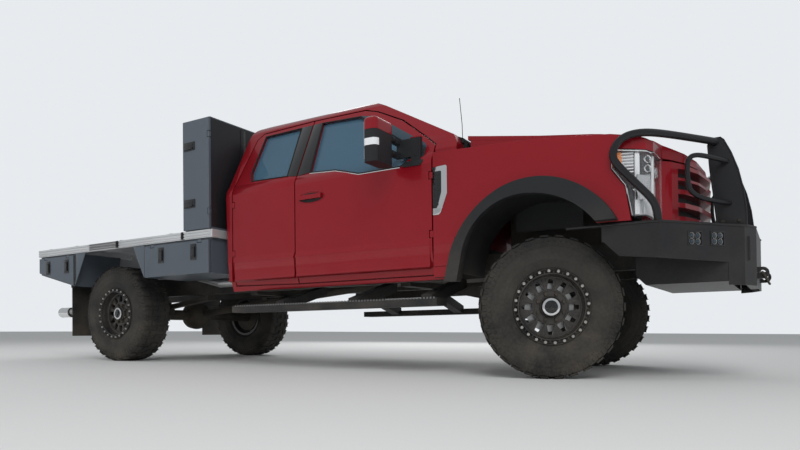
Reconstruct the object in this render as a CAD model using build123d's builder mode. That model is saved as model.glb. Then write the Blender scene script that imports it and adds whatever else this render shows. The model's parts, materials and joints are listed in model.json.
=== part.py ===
from build123d import *
import os
from math import atan2, cos, degrees, radians, sin, sqrt

# Driving dimensions, in millimetres; x runs forward, y to the left, z up from the ground.
wheelbase = 4195
front_overhang = 1290
rear_overhang = 1125
axle_to_datum = 70
nose_up_deg = 0.915
body_lift = 8
tyre_radius = 460
tyre_width = 318
track_half = 870
kingpin_half = 680
steer_rest = 25.0
cab_half_width = 1000
cab_bottom = 600
door_bottom = 637
belt_height = 1490
roof_height = 2090
roof_half_width = 640
cab_back = 2743
door_front = 775
door_split = 2010
door_rear = 2690
door_gap = 10
shell_thickness = 45
underfloor_z = 828
cowl_half = 955
post_half = 850
glass_thickness = 5
hood_front = 868
hood_half_width = 850
hinge_inset = 8
pin_radius = 4
pin_clearance = 0.3
rail_outer = 430
rail_width = 80
rail_bottom = 640
rail_height = 180
axle_radius = 48
deck_top = 1133
deck_thickness = 70
deck_half_width = 1105
cabinet_front = 2846
cabinet_rear = 3165
cabinet_top = 2092
cabinet_half_width = 1119
box_front_x = 2861
box_rear_x = 3700
box_bottom = 762
rear_box_front = 4775
rear_box_low = 738
rear_box_high = 880
box_door_thickness = 22
step_top = 470
step_height = 55
flare_outer = 1062
flare_inner = 985
bumper_top = 870
rim_radius = 229
lug_rows = 2
lug_count = 30
lug_height = 11

# Derived positions.
front_axle_x = (wheelbase + rear_overhang - front_overhang) / 2
rear_x = front_axle_x - wheelbase
front_x = front_axle_x + axle_to_datum
axle_z = tyre_radius
deck_rear_x = rear_x - rear_overhang
rail_top = rail_bottom + rail_height
rail_centre = rail_outer - rail_width / 2
steer = radians(steer_rest)
scrub = track_half - kingpin_half
cab_rear_x = front_x - cab_back
door_front_x = front_x - door_front
door_split_x = front_x - door_split
door_rear_x = front_x - door_rear
firewall_x = front_x - 600
deck_front_x = front_x - cabinet_front + 18
cabinet_front_x = front_x - cabinet_front
cabinet_rear_x = front_x - cabinet_rear
hinge_y = cab_half_width - hinge_inset
socket_radius = pin_radius + pin_clearance
body_pieces = []
os.makedirs("parts", exist_ok=True)

# Cab outer form: side profile and cross-section cut each other.
roof_edge = roof_height - 25
with BuildPart() as cab_outer:
    with BuildSketch(Plane.XZ) as cab_side:
        with BuildLine():
            Polyline(
                (cab_rear_x, cab_bottom),
                (cab_rear_x - 25, 1400),
                (cab_rear_x + 15, roof_height - 135),
            )
            ThreePointArc(
                (cab_rear_x + 15, roof_height - 135),
                (cab_rear_x + 45, roof_height - 70),
                (cab_rear_x + 120, roof_height - 40),
            )
            ThreePointArc(
                (cab_rear_x + 120, roof_height - 40),
                (front_x - 2000, roof_height),
                (front_x - 1400, roof_height - 45),
            )
            Polyline(
                (front_x - 1400, roof_height - 45),
                (front_x - 1300, roof_height - 95),
                (front_x - 640, belt_height + 130),
                (firewall_x, belt_height + 60),
                (firewall_x, 860),
                (front_x - 680, cab_bottom),
                (cab_rear_x, cab_bottom),
            )
        make_face()
    extrude(amount=cab_half_width, both=True)
    with BuildSketch(Plane.YZ.offset(cab_rear_x - 60)) as cab_section:
        with BuildLine():
            Polyline(
                (0, cab_bottom),
                (cab_half_width - 60, cab_bottom),
                (cab_half_width - 20, door_bottom + 90),
            )
            ThreePointArc(
                (cab_half_width - 20, door_bottom + 90),
                (cab_half_width - 5, door_bottom + 150),
                (cab_half_width, door_bottom + 220),
            )
            Line((cab_half_width, door_bottom + 220), (cab_half_width, belt_height - 90))
            ThreePointArc(
                (cab_half_width, belt_height - 90),
                (cab_half_width - 8, belt_height - 35),
                (cab_half_width - 35, belt_height + 10),
            )
            Line((cab_half_width - 35, belt_height + 10), (roof_half_width + 95, roof_height - 95))
            ThreePointArc(
                (roof_half_width + 95, roof_height - 95),
                (roof_half_width + 60, roof_height - 45),
                (roof_half_width - 20, roof_height - 18),
            )
            Polyline((roof_half_width - 20, roof_height - 18), (0, roof_height), (0, cab_bottom))
        make_face()
        mirror(about=Plane.YZ)
    extrude(amount=cab_back, mode=Mode.INTERSECT)

# Cab inner form, the room for people.
inner_half = cab_half_width - shell_thickness
door_skin_inner = inner_half - 40
with BuildPart() as cab_inner:
    with BuildSketch(Plane.XZ):
        with BuildLine():
            Polyline(
                (cab_rear_x + 45, 880),
                (cab_rear_x + 20, 1400),
                (cab_rear_x + 62, roof_height - 140),
                (cab_rear_x + 150, roof_height - 85),
                (front_x - 2000, roof_height - 45),
                (front_x - 1430, roof_height - 85),
                (front_x - 1340, roof_height - 130),
                (front_x - 720, belt_height + 95),
                (firewall_x - 40, belt_height + 20),
                (firewall_x - 40, 950),
                (front_x - 760, 880),
                (cab_rear_x + 45, 880),
            )
        make_face()
    extrude(amount=cab_half_width, both=True)
    with BuildSketch(Plane.YZ.offset(cab_rear_x - 60)):
        with BuildLine():
            Polyline(
                (0, 860),
                (inner_half - 25, 860),
                (inner_half, belt_height - 60),
                (inner_half - 35, belt_height + 10),
                (roof_half_width + 45, roof_height - 110),
                (roof_half_width - 30, roof_height - 62),
                (0, roof_height - 40),
                (0, 860),
            )
        make_face()
        mirror(about=Plane.YZ)
    extrude(amount=cab_back, mode=Mode.INTERSECT)
    with Locations(
        (door_front_x + 110, post_half + 100, 1300),
        (door_front_x + 110, -post_half - 100, 1300),
    ):
        Box(200, 200, 900, mode=Mode.SUBTRACT)

# Door outlines in side view; each opening is a little larger than its door.
front_door_points = [
    (door_front_x, door_bottom),
    (door_front_x, belt_height + 70),
    (front_x - 860, belt_height + 140),
    (front_x - 1110, roof_height - 268),
    (front_x - 1370, roof_height - 138),
    (front_x - 1500, roof_height - 98),
    (door_split_x + door_gap / 2, roof_height - 92),
    (door_split_x + door_gap / 2, door_bottom),
]
rear_door_points = [
    (door_split_x - door_gap / 2, door_bottom),
    (door_split_x - door_gap / 2, roof_height - 92),
    (front_x - 2560, roof_height - 110),
    (front_x - 2615, roof_height - 160),
    (door_rear_x, belt_height + 10),
    (door_rear_x, door_bottom + 15),
]
front_window_points = [
    (front_x - 1910, roof_height - 128),
    (front_x - 1530, roof_height - 145),
    (front_x - 880, belt_height + 35),
    (front_x - 1030, belt_height - 65),
    (front_x - 1390, belt_height - 65),
    (front_x - 1620, belt_height - 2),
    (front_x - 1880, belt_height + 16),
]
rear_window_points = [
    (front_x - 2134, roof_height - 132),
    (front_x - 2525, roof_height - 142),
    (front_x - 2548, belt_height + 110),
    (front_x - 2512, belt_height + 30),
    (front_x - 2118, belt_height + 20),
]
hinge_heights = [door_bottom + 280, belt_height - 160]
hinge_block = 46

with BuildPart() as front_door_prism:
    with BuildSketch(Plane.XZ):
        with BuildLine():
            Polyline(*front_door_points, close=True)
        make_face()
    extrude(amount=cab_half_width + 50, both=True)

with BuildPart() as rear_door_prism:
    with BuildSketch(Plane.XZ):
        with BuildLine():
            Polyline(*rear_door_points, close=True)
        make_face()
    extrude(amount=cab_half_width + 50, both=True)

with BuildPart() as door_opening_prism:
    with BuildSketch(Plane.XZ):
        with BuildLine():
            Polyline(*front_door_points, close=True)
        make_face()
        offset(amount=door_gap, kind=Kind.INTERSECTION)
    extrude(amount=cab_half_width + 50, both=True)
    with BuildSketch(Plane.XZ):
        with BuildLine():
            Polyline(*rear_door_points, close=True)
        make_face()
        offset(amount=door_gap, kind=Kind.INTERSECTION)
    extrude(amount=cab_half_width + 50, both=True)
    with Locations((front_x - 1700, 0, 1400)):
        Box(2600, 2 * (roof_half_width - 60), 1700, mode=Mode.SUBTRACT)
    with Locations((front_x - 1700, 0, 700)):
        Box(2600, 2 * (door_skin_inner - door_gap), 400, mode=Mode.SUBTRACT)

# Above the belt both doors keep only their outer lip next to the split, so each opens alone.
lip = 12
lip_section = [
    (0, belt_height - 60),
    (cab_half_width - lip, belt_height - 60),
    (cab_half_width - 35 - lip, belt_height + 10),
    (roof_half_width + 95 - lip, roof_height - 95),
    (roof_half_width + 95 - lip, roof_height - 60),
    (0, roof_height - 60),
]
with BuildPart() as split_lips:
    with BuildSketch(Plane.YZ.offset(door_split_x - 34)):
        with BuildLine():
            Polyline(*lip_section, close=True)
        make_face()
        mirror(about=Plane.YZ)
    extrude(amount=54)

# Cab shell with door openings, windshield and rear window cut out.
with BuildPart() as cab_shell:
    add(cab_outer.part)
    add(cab_inner.part, mode=Mode.SUBTRACT)
    add(door_opening_prism.part, mode=Mode.SUBTRACT)
    with Locations((front_x - 1650, 0, underfloor_z - 150)):
        Box(2500, 2 * inner_half - 130, 300, mode=Mode.SUBTRACT)
    with Locations((door_front_x + 110, cowl_half + 100, 1200), (door_front_x + 110, -cowl_half - 100, 1200)):
        Box(210, 200, 1400, mode=Mode.SUBTRACT)
    with BuildSketch(Plane.YZ.offset(front_x - 1500)):
        with BuildLine():
            Polyline(
                (-780, belt_height + 113),
                (-605, roof_height - 118),
                (605, roof_height - 118),
                (780, belt_height + 113),
                close=True,
            )
        make_face()
    extrude(amount=1000, mode=Mode.SUBTRACT)
    with BuildSketch(Plane.YZ.offset(cab_rear_x - 100)):
        with Locations((0, (belt_height + roof_height) / 2 - 20)):
            RectangleRounded(1250, 360, 50)
    extrude(amount=220, mode=Mode.SUBTRACT)


# Door hinges: a block and a pin on the cab, a notch and a bored edge on the door.
front_hinge_x = door_front_x - hinge_inset
rear_hinge_x = door_rear_x + hinge_inset
hinge_rows = []
for hinge_z in hinge_heights:
    for side in (1, -1):
        hinge_rows.append((front_hinge_x, 1, side, hinge_z))
        hinge_rows.append((rear_hinge_x, -1, side, hinge_z))
with BuildPart() as door_hinges:
    for hinge_x, outward, side, hinge_z in hinge_rows:
        with Locations((hinge_x + outward * 4, side * (hinge_y - 24), hinge_z)):
            Box(26, 62, hinge_block)
        with Locations((hinge_x + outward * 32, side * (hinge_y - 50), hinge_z)):
            Box(60, 26, hinge_block)
        with Locations((hinge_x, side * hinge_y, hinge_z)):
            Cylinder(pin_radius, hinge_block + 36)

with BuildPart() as door_notches:
    for hinge_x, outward, side, hinge_z in hinge_rows:
        with Locations((hinge_x + outward * 4, side * (hinge_y - 28), hinge_z)):
            Box(38, 96, hinge_block + 12)
        with Locations((hinge_x, side * hinge_y, hinge_z)):
            Cylinder(socket_radius, hinge_block + 42)

with BuildPart() as cab_body:
    add(cab_shell.part)
    add(door_hinges.part)
cab_body.part.label = "cab_shell"
body_pieces.append(cab_body.part)

# Doors: the cab skin inside each outline, with the window cut out.
side_glass_offset = 22
with BuildPart() as side_glass_slab:
    with BuildSketch(Plane.YZ.offset(cab_rear_x - 60)):
        with BuildLine():
            Polyline(
                (-cab_half_width + side_glass_offset - 5, belt_height - 80),
                (-roof_half_width - 95 + side_glass_offset, roof_height - 95),
                (-roof_half_width - 95 + side_glass_offset + glass_thickness, roof_height - 95),
                (-cab_half_width + side_glass_offset - 5 + glass_thickness, belt_height - 80),
                close=True,
            )
        make_face()
    extrude(amount=cab_back)

with BuildPart() as front_window_prism:
    with BuildSketch(Plane.XZ):
        with BuildLine():
            Polyline(*front_window_points, close=True)
        make_face()
    extrude(amount=cab_half_width + 50)

with BuildPart() as rear_window_prism:
    with BuildSketch(Plane.XZ):
        with BuildLine():
            Polyline(*rear_window_points, close=True)
        make_face()
    extrude(amount=cab_half_width + 50)

handle_x = front_x - 1846
with BuildPart() as door_front_right:
    add(cab_outer.part)
    add(cab_inner.part, mode=Mode.SUBTRACT)
    add(front_door_prism.part, mode=Mode.INTERSECT)
    with Locations((front_x - 1650, 0, 700)):
        Box(2600, 2 * door_skin_inner, 400, mode=Mode.SUBTRACT)
    with Locations((front_x - 1400, cab_half_width, 1300)):
        Box(3000, 2 * cab_half_width, 3000, mode=Mode.SUBTRACT)
    add(front_window_prism.part, mode=Mode.SUBTRACT)
    add(door_notches.part, mode=Mode.SUBTRACT)
    add(split_lips.part, mode=Mode.SUBTRACT)
    with Locations((handle_x, -cab_half_width - 12, 1303)):
        Box(220, 20, 34)
    with Locations((handle_x - 85, -cab_half_width, 1303), (handle_x + 85, -cab_half_width, 1303)):
        Box(36, 22, 28)
door_front_right.part.label = "door_front_right"
body_pieces.append(door_front_right.part)

with BuildPart() as door_front_left:
    mirror(door_front_right.part, about=Plane.XZ)
door_front_left.part.label = "door_front_left"
body_pieces.append(door_front_left.part)

with BuildPart() as door_rear_right:
    add(cab_outer.part)
    add(cab_inner.part, mode=Mode.SUBTRACT)
    add(rear_door_prism.part, mode=Mode.INTERSECT)
    with Locations((front_x - 1650, 0, 700)):
        Box(2600, 2 * door_skin_inner, 400, mode=Mode.SUBTRACT)
    with Locations((front_x - 2400, cab_half_width, 1300)):
        Box(3000, 2 * cab_half_width, 3000, mode=Mode.SUBTRACT)
    add(rear_window_prism.part, mode=Mode.SUBTRACT)
    add(door_notches.part, mode=Mode.SUBTRACT)
    add(split_lips.part, mode=Mode.SUBTRACT)
door_rear_right.part.label = "door_rear_right"
body_pieces.append(door_rear_right.part)

with BuildPart() as door_rear_left:
    mirror(door_rear_right.part, about=Plane.XZ)
door_rear_left.part.label = "door_rear_left"
body_pieces.append(door_rear_left.part)

with BuildPart() as glass_front_right:
    add(side_glass_slab.part)
    add(front_window_prism.part, mode=Mode.INTERSECT)
glass_front_right.part.label = "glass_front_right"
body_pieces.append(glass_front_right.part)

with BuildPart() as glass_front_left:
    mirror(glass_front_right.part, about=Plane.XZ)
glass_front_left.part.label = "glass_front_left"
body_pieces.append(glass_front_left.part)

with BuildPart() as glass_rear_right:
    add(side_glass_slab.part)
    add(rear_window_prism.part, mode=Mode.INTERSECT)
glass_rear_right.part.label = "glass_rear_right"
body_pieces.append(glass_rear_right.part)

with BuildPart() as glass_rear_left:
    mirror(glass_rear_right.part, about=Plane.XZ)
glass_rear_left.part.label = "glass_rear_left"
body_pieces.append(glass_rear_left.part)

# Windshield and rear window share one node.
with BuildPart() as fixed_glass:
    with BuildSketch(Plane.XZ):
        with BuildLine():
            Polyline(
                (front_x - 1345, roof_height - 118),
                (front_x - 640, belt_height + 88),
                (front_x - 637, belt_height + 93),
                (front_x - 1342, roof_height - 113),
                close=True,
            )
        make_face()
    extrude(amount=cab_half_width, both=True)
    with BuildSketch(Plane.YZ.offset(front_x - 1500)):
        with BuildLine():
            Polyline(
                (-780, belt_height + 113),
                (-605, roof_height - 118),
                (605, roof_height - 118),
                (780, belt_height + 113),
                close=True,
            )
        make_face()
    extrude(amount=1000, mode=Mode.INTERSECT)
    with BuildSketch(Plane.YZ.offset(cab_rear_x + 20)):
        with Locations((0, (belt_height + roof_height) / 2 - 20)):
            RectangleRounded(1250, 360, 50)
    extrude(amount=glass_thickness)
fixed_glass.part.label = "fixed_glass"
body_pieces.append(fixed_glass.part)

# Tall towing mirrors, one on each front door.
mirror_x = front_x - 1060
with BuildPart() as mirror_right:
    with Locations((mirror_x - 15, -1215, 1555)):
        Box(110, 230, 310)
    fillet(mirror_right.edges().filter_by(Axis.Z), 35)
    fillet(mirror_right.edges().group_by(Axis.Z)[-1], 30)
    with Locations((mirror_x + 10, -1040, 1505), (mirror_x + 10, -1040, 1600)):
        Box(42, 145, 34)
    with Locations((front_x - 905, -977, 1535)):
        Box(80, 30, 180)
    with Locations((front_x - 970, -982, 1552)):
        Box(180, 24, 130)
    add(door_front_right.part, mode=Mode.SUBTRACT)
    add(glass_front_right.part, mode=Mode.SUBTRACT)
mirror_right.part.label = "mirror_right"
body_pieces.append(mirror_right.part)

with BuildPart() as mirror_left:
    mirror(mirror_right.part, about=Plane.XZ)
mirror_left.part.label = "mirror_left"
body_pieces.append(mirror_left.part)

# Front body form, shared by fenders, headlamps and grille.
fender_top = belt_height - 3
nose_plan_points = [
    (front_x - 765, 0),
    (front_x - 765, 1000),
    (front_x - 100, 1000),
    (front_x + 200, 990),
    (front_x + 450, 962),
    (front_x + 560, 942),
    (front_x + 635, 908),
    (front_x + 668, 850),
    (front_x + 682, 640),
    (front_x + 690, 0),
]
grille_half = 640
grille_plan_points = [
    (front_x + 560, 0),
    (front_x + 560, grille_half),
    (front_x + 668, grille_half),
    (front_x + 735, grille_half - 36),
    (front_x + 800, grille_half - 135),
    (front_x + 860, 320),
    (front_x + 900, 0),
]
lamp_top = [(front_x + 451, 1326), (front_x + 931, 1267)]
hood_plan_points = [
    (front_x - 560, 0),
    (front_x - 560, hood_half_width),
    (front_x + 300, hood_half_width - 2),
    (front_x + 480, hood_half_width - 25),
    (front_x + 600, hood_half_width - 60),
    (front_x + 655, hood_half_width - 105),
    (front_x + hood_front - 180, hood_half_width - 190),
    (front_x + hood_front - 132, hood_half_width - 250),
    (front_x + hood_front - 70, hood_half_width - 345),
    (front_x + hood_front - 20, 320),
    (front_x + hood_front, 0),
]
fender_top_points = [
    (front_x - 765, fender_top),
    (front_x - 140, fender_top - 19),
    (front_x + 440, fender_top - 62),
    (front_x + 600, fender_top - 92),
    (front_x + 790, fender_top - 160),
]
arch_x = front_x - 75
arch_z = 635
arch_radius = 500
with BuildPart() as nose_inner:
    with BuildSketch(Plane.XY.offset(500)):
        with BuildLine():
            Polyline(*nose_plan_points, close=True)
        make_face()
        mirror(about=Plane.XZ)
        offset(amount=-38, kind=Kind.INTERSECTION)
    extrude(amount=1100)
    with BuildSketch(Plane.XZ):
        with BuildLine():
            Polyline(
                (front_x - 900, 500),
                (front_x - 900, fender_top - 25),
                (front_x - 140, fender_top - 44),
                (front_x + 440, fender_top - 87),
                (front_x + 600, fender_top - 117),
                (front_x + 790, fender_top - 185),
                (front_x + 900, fender_top - 220),
                (front_x + 900, 500),
                close=True,
            )
        make_face()
    extrude(amount=1100, both=True, mode=Mode.INTERSECT)

with BuildPart() as fenders:
    with BuildSketch(Plane.XZ):
        with BuildLine():
            Polyline(
                (front_x - 765, cab_bottom + 12),
                *fender_top_points,
                (front_x + 790, 1290),
                (front_x + 735, 1300),
                (front_x + 448, 1334),
                (front_x + 440, 1210),
                (front_x + 520, 1100),
                (front_x + 552, bumper_top + 18),
                (front_x + 300, bumper_top + 18),
                (arch_x, arch_z),
                (front_x - 560, cab_bottom + 12),
                close=True,
            )
        make_face()
        with Locations((arch_x, arch_z)):
            Circle(arch_radius, mode=Mode.SUBTRACT)
    extrude(amount=cab_half_width, both=True)
    with BuildSketch(Plane.XY.offset(500)):
        with BuildLine():
            Polyline(*nose_plan_points, close=True)
        make_face()
        mirror(about=Plane.XZ)
    extrude(amount=1100, mode=Mode.INTERSECT)
    add(nose_inner.part, mode=Mode.SUBTRACT)
    with BuildSketch(Plane.XY.offset(500)):
        with BuildLine():
            Polyline(*hood_plan_points, close=True)
        make_face()
        mirror(about=Plane.XZ)
        offset(amount=11, kind=Kind.INTERSECTION)
    extrude(amount=1100, mode=Mode.SUBTRACT)
    with Locations((front_x - 700, 0, 1000)):
        Box(280, 2 * (cowl_half + 3), 1200, mode=Mode.SUBTRACT)
fenders.part.label = "fenders"
body_pieces.append(fenders.part)

# Headlamps wrap round the corners.
with BuildPart() as headlamps:
    with BuildSketch(Plane.XZ):
        with BuildLine():
            Polyline(
                *lamp_top,
                (front_x + 931, 915),
                (front_x + 560, 915),
                (front_x + 528, 1103),
                (front_x + 448, 1212),
                close=True,
            )
        make_face()
    extrude(amount=cab_half_width, both=True)
    with BuildSketch(Plane.XY.offset(500)):
        with BuildLine():
            Polyline(*nose_plan_points, close=True)
        make_face()
        mirror(about=Plane.XZ)
        offset(amount=-2, kind=Kind.INTERSECTION)
    extrude(amount=1100, mode=Mode.INTERSECT)
    with BuildSketch(Plane.XY.offset(500)):
        with BuildLine():
            Polyline(*nose_plan_points, close=True)
        make_face()
        mirror(about=Plane.XZ)
        offset(amount=-100, kind=Kind.INTERSECTION)
    extrude(amount=1100, mode=Mode.SUBTRACT)
    with Locations((front_x + 700, 0, 1000)):
        Box(600, 2 * grille_half, 1000, mode=Mode.SUBTRACT)
headlamps.part.label = "headlamps"
body_pieces.append(headlamps.part)

# Grille: a proud surround with bars, and a mesh behind.
grille_low = 915
grille_wall = 70
with BuildPart() as grille_form:
    with BuildSketch(Plane.XZ):
        with BuildLine():
            Polyline(
                (front_x + 500, grille_low),
                (front_x + 451, 1326),
                lamp_top[1],
                (front_x + 931, grille_low),
                close=True,
            )
        make_face()
    extrude(amount=grille_half + 10, both=True)
with BuildPart() as grille:
    with BuildSketch(Plane.XY.offset(grille_low)):
        with BuildLine():
            Polyline(*grille_plan_points, close=True)
        make_face()
        mirror(about=Plane.XZ)
    extrude(amount=500)
    with BuildSketch(Plane.XY.offset(grille_low - 10)):
        with BuildLine():
            Polyline(*grille_plan_points, close=True)
        make_face()
        mirror(about=Plane.XZ)
        offset(amount=-grille_wall, kind=Kind.INTERSECTION)
    extrude(amount=520, mode=Mode.SUBTRACT)
    with Locations((front_x + 560, 0, grille_low + 250)):
        Box(200, 2 * (grille_half - grille_wall), 520, mode=Mode.SUBTRACT)
    for window_z in (978, 1065, 1150, 1224):
        with Locations((front_x + 830, 0, window_z)):
            Box(270, 2 * (grille_half - 82), 56, mode=Mode.SUBTRACT)
    add(grille_form.part, mode=Mode.INTERSECT)
    for side in (1, -1):
        with Locations((front_x + 667, side * (rail_outer + 95), 980)):
            Box(40, 90, 60)
grille.part.label = "grille"
body_pieces.append(grille.part)

with BuildPart() as grille_mesh:
    with BuildSketch(Plane.XY.offset(grille_low)):
        with BuildLine():
            Polyline(*grille_plan_points, close=True)
        make_face()
        mirror(about=Plane.XZ)
        offset(amount=-grille_wall, kind=Kind.INTERSECTION)
    extrude(amount=500)
    with BuildSketch(Plane.XY.offset(grille_low - 10)):
        with BuildLine():
            Polyline(*grille_plan_points, close=True)
        make_face()
        mirror(about=Plane.XZ)
        offset(amount=-grille_wall - 10, kind=Kind.INTERSECTION)
    extrude(amount=520, mode=Mode.SUBTRACT)
    with Locations((front_x + 595, 0, grille_low + 250)):
        Box(200, 2 * grille_half, 520, mode=Mode.SUBTRACT)
    add(grille_form.part, mode=Mode.INTERSECT)
grille_mesh.part.label = "grille_mesh"
body_pieces.append(grille_mesh.part)

# Hood: a sloping skin with turned-down sides, hinged at the rear edge.
hood_line = [
    (front_x - 560, 1607),
    (front_x - 445, 1588),
    (front_x - 37, 1523),
    (front_x + 353, 1470),
    (front_x + 478, 1447),
    (front_x + 640, 1405),
    (front_x + hood_front + 12, 1326),
]
hood_skin = 28
hood_hinge_x = front_x - 560 + hinge_inset
hood_hinge_z = 1607 - 13
lip_gap = 10
with BuildPart() as hood_lip:
    with BuildSketch(Plane.XZ):
        with BuildLine():
            Polyline(
                (front_x + 560, 1405),
                (front_x + 640, 1395),
                (front_x + hood_front + 12, 1316),
                (front_x + hood_front + 12, 1274 + lip_gap),
                (front_x + 560, 1313 + lip_gap),
                close=True,
            )
        make_face()
    extrude(amount=hood_half_width, both=True)
    with BuildSketch(Plane.XY.offset(1200)):
        with BuildLine():
            Polyline(*hood_plan_points, close=True)
        make_face()
        mirror(about=Plane.XZ)
    extrude(amount=300, mode=Mode.INTERSECT)
    with BuildSketch(Plane.XY.offset(1200)):
        with BuildLine():
            Polyline(*hood_plan_points, close=True)
        make_face()
        mirror(about=Plane.XZ)
        offset(amount=-24, kind=Kind.INTERSECTION)
    extrude(amount=300, mode=Mode.SUBTRACT)

with BuildPart() as hood:
    with BuildSketch(Plane.XZ):
        with BuildLine():
            Polyline(
                *hood_line,
                (front_x + hood_front + 12, 1326 - hood_skin),
                (front_x + 640, 1405 - hood_skin),
                (front_x + 478, 1447 - hood_skin),
                (front_x + 353, 1470 - hood_skin),
                (front_x - 37, 1523 - hood_skin),
                (front_x - 445, 1588 - hood_skin),
                (front_x - 560, 1607 - hood_skin),
                close=True,
            )
        make_face()
    extrude(amount=hood_half_width, both=True)
    with BuildSketch(Plane.XY.offset(500)):
        with BuildLine():
            Polyline(*hood_plan_points, close=True)
        make_face()
        mirror(about=Plane.XZ)
    extrude(amount=1300, mode=Mode.INTERSECT)
    add(hood_lip.part)
    for side in (1, -1):
        with BuildSketch(Plane.XZ.offset(side * (hood_half_width - 14))):
            with BuildLine():
                Polyline(
                    (front_x - 540, fender_top + 10),
                    (front_x - 540, 1590),
                    (front_x - 37, 1510),
                    (front_x + 300, 1464),
                    (front_x + 300, fender_top - 42),
                    (front_x - 140, fender_top - 9),
                    close=True,
                )
            make_face()
        extrude(amount=12, both=True)
        with Locations((hood_hinge_x + 4, side * 600, hood_hinge_z - 5)):
            Box(38, 58, 60, mode=Mode.SUBTRACT)
        with Locations((hood_hinge_x, side * 600, hood_hinge_z)):
            Cylinder(socket_radius, 96, rotation=(90, 0, 0), mode=Mode.SUBTRACT)
hood.part.label = "hood"
body_pieces.append(hood.part)

with BuildPart() as cowl:
    with BuildSketch(Plane.XZ):
        with BuildLine():
            Polyline(
                (firewall_x, 1490),
                (firewall_x, belt_height + 60),
                (front_x - 640, belt_height + 130),
                (front_x - 600, belt_height + 112),
                (front_x - 575, belt_height + 92),
                (front_x - 575, 1490),
                close=True,
            )
        make_face()
    extrude(amount=post_half - 10, both=True)
    for side in (1, -1):
        with Locations((hood_hinge_x - 12, side * 600, hood_hinge_z - 20)):
            Box(30, 46, 52)
        with Locations((hood_hinge_x, side * 600, hood_hinge_z)):
            Cylinder(pin_radius, 82, rotation=(90, 0, 0))
cowl.part.label = "cowl"
body_pieces.append(cowl.part)

# Bumper: folded plate, open behind, with a lower centre plate.
bumper_front = 1188
lamp_width = 96
lamp_height = 80
bumper_plan_points = [
    (front_x + 150, 0),
    (front_x + 150, 972),
    (front_x + 382, 970),
    (front_x + 715, 957),
    (front_x + 1045, 560),
    (front_x + 1130, 470),
    (front_x + bumper_front, 340),
    (front_x + bumper_front, 0),
]
bumper_low = 500
plate = 8
with BuildPart() as bumper:
    with BuildSketch(Plane.XY.offset(bumper_low)):
        with BuildLine():
            Polyline(*bumper_plan_points, close=True)
        make_face()
        mirror(about=Plane.XZ)
    extrude(amount=bumper_top - bumper_low)
    with BuildSketch(Plane.XY.offset(bumper_low - 10)):
        with BuildLine():
            Polyline(*bumper_plan_points, close=True)
        make_face()
        mirror(about=Plane.XZ)
        offset(amount=-plate, kind=Kind.INTERSECTION)
    extrude(amount=bumper_top - plate - bumper_low + 10, mode=Mode.SUBTRACT)
    with BuildSketch(Plane.XY.offset(bumper_low - 10)):
        with BuildLine():
            Polyline(*bumper_plan_points, close=True)
        make_face()
        mirror(about=Plane.XZ)
        offset(amount=-150, kind=Kind.INTERSECTION)
    extrude(amount=bumper_top, mode=Mode.SUBTRACT)
    with Locations((front_x + 182, 0, 700)):
        Box(400, 2200, 600, mode=Mode.SUBTRACT)
    with BuildSketch(Plane.XZ):
        with BuildLine():
            Polyline(
                (front_x + 300, bumper_low - 20),
                (front_x + 300, 766),
                (front_x + 395, 766),
                (front_x + 484, 676),
                (front_x + 715, 653),
                (front_x + 1045, 640),
                (front_x + 1045, bumper_low - 20),
                close=True,
            )
        make_face()
    extrude(amount=1100, both=True, mode=Mode.SUBTRACT)
    for side in (1, -1):
        with Locations((front_x + 1080, side * rail_centre, 730)):
            Box(156, 78, 150)
        with Locations((front_x + 880, side * 756, 775), (front_x + 990, side * 626, 780)):
            Box(140, lamp_width, lamp_height, rotation=(0, 0, side * 40), mode=Mode.SUBTRACT)
    with Locations((front_x + 1150, 0, 590)):
        Box(60, 660, 150)
bumper.part.label = "bumper"
body_pieces.append(bumper.part)

with BuildPart() as bumper_lamps:
    for side in (1, -1):
        with Locations((front_x + 862, side * 741, 775), (front_x + 972, side * 611, 780)):
            Box(44, lamp_width - 0.4, lamp_height - 0.4, rotation=(0, 0, side * 40))
bumper_lamps.part.label = "bumper_lamps"
body_pieces.append(bumper_lamps.part)

# Skid plate under the bumper, closed at the sides.
skid_half = 560
skid_low = 522
with BuildPart() as skid_plate:
    with BuildSketch(Plane.XZ):
        with BuildLine():
            Polyline(
                (front_x + 500, skid_low + 60),
                (front_x + 560, skid_low),
                (front_x + 1044, skid_low),
                (front_x + 1044, 700),
                (front_x + 500, 700),
                close=True,
            )
        make_face()
    extrude(amount=skid_half, both=True)
    with BuildSketch(Plane.XZ):
        with BuildLine():
            Polyline(
                (front_x + 480, skid_low + 66),
                (front_x + 563, skid_low + plate),
                (front_x + 1064, skid_low + plate),
                (front_x + 1064, 720),
                (front_x + 480, 720),
                close=True,
            )
        make_face()
    extrude(amount=skid_half - plate, both=True, mode=Mode.SUBTRACT)
    add(bumper.part, mode=Mode.SUBTRACT)
skid_plate.part.label = "skid_plate"
body_pieces.append(skid_plate.part)

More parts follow.
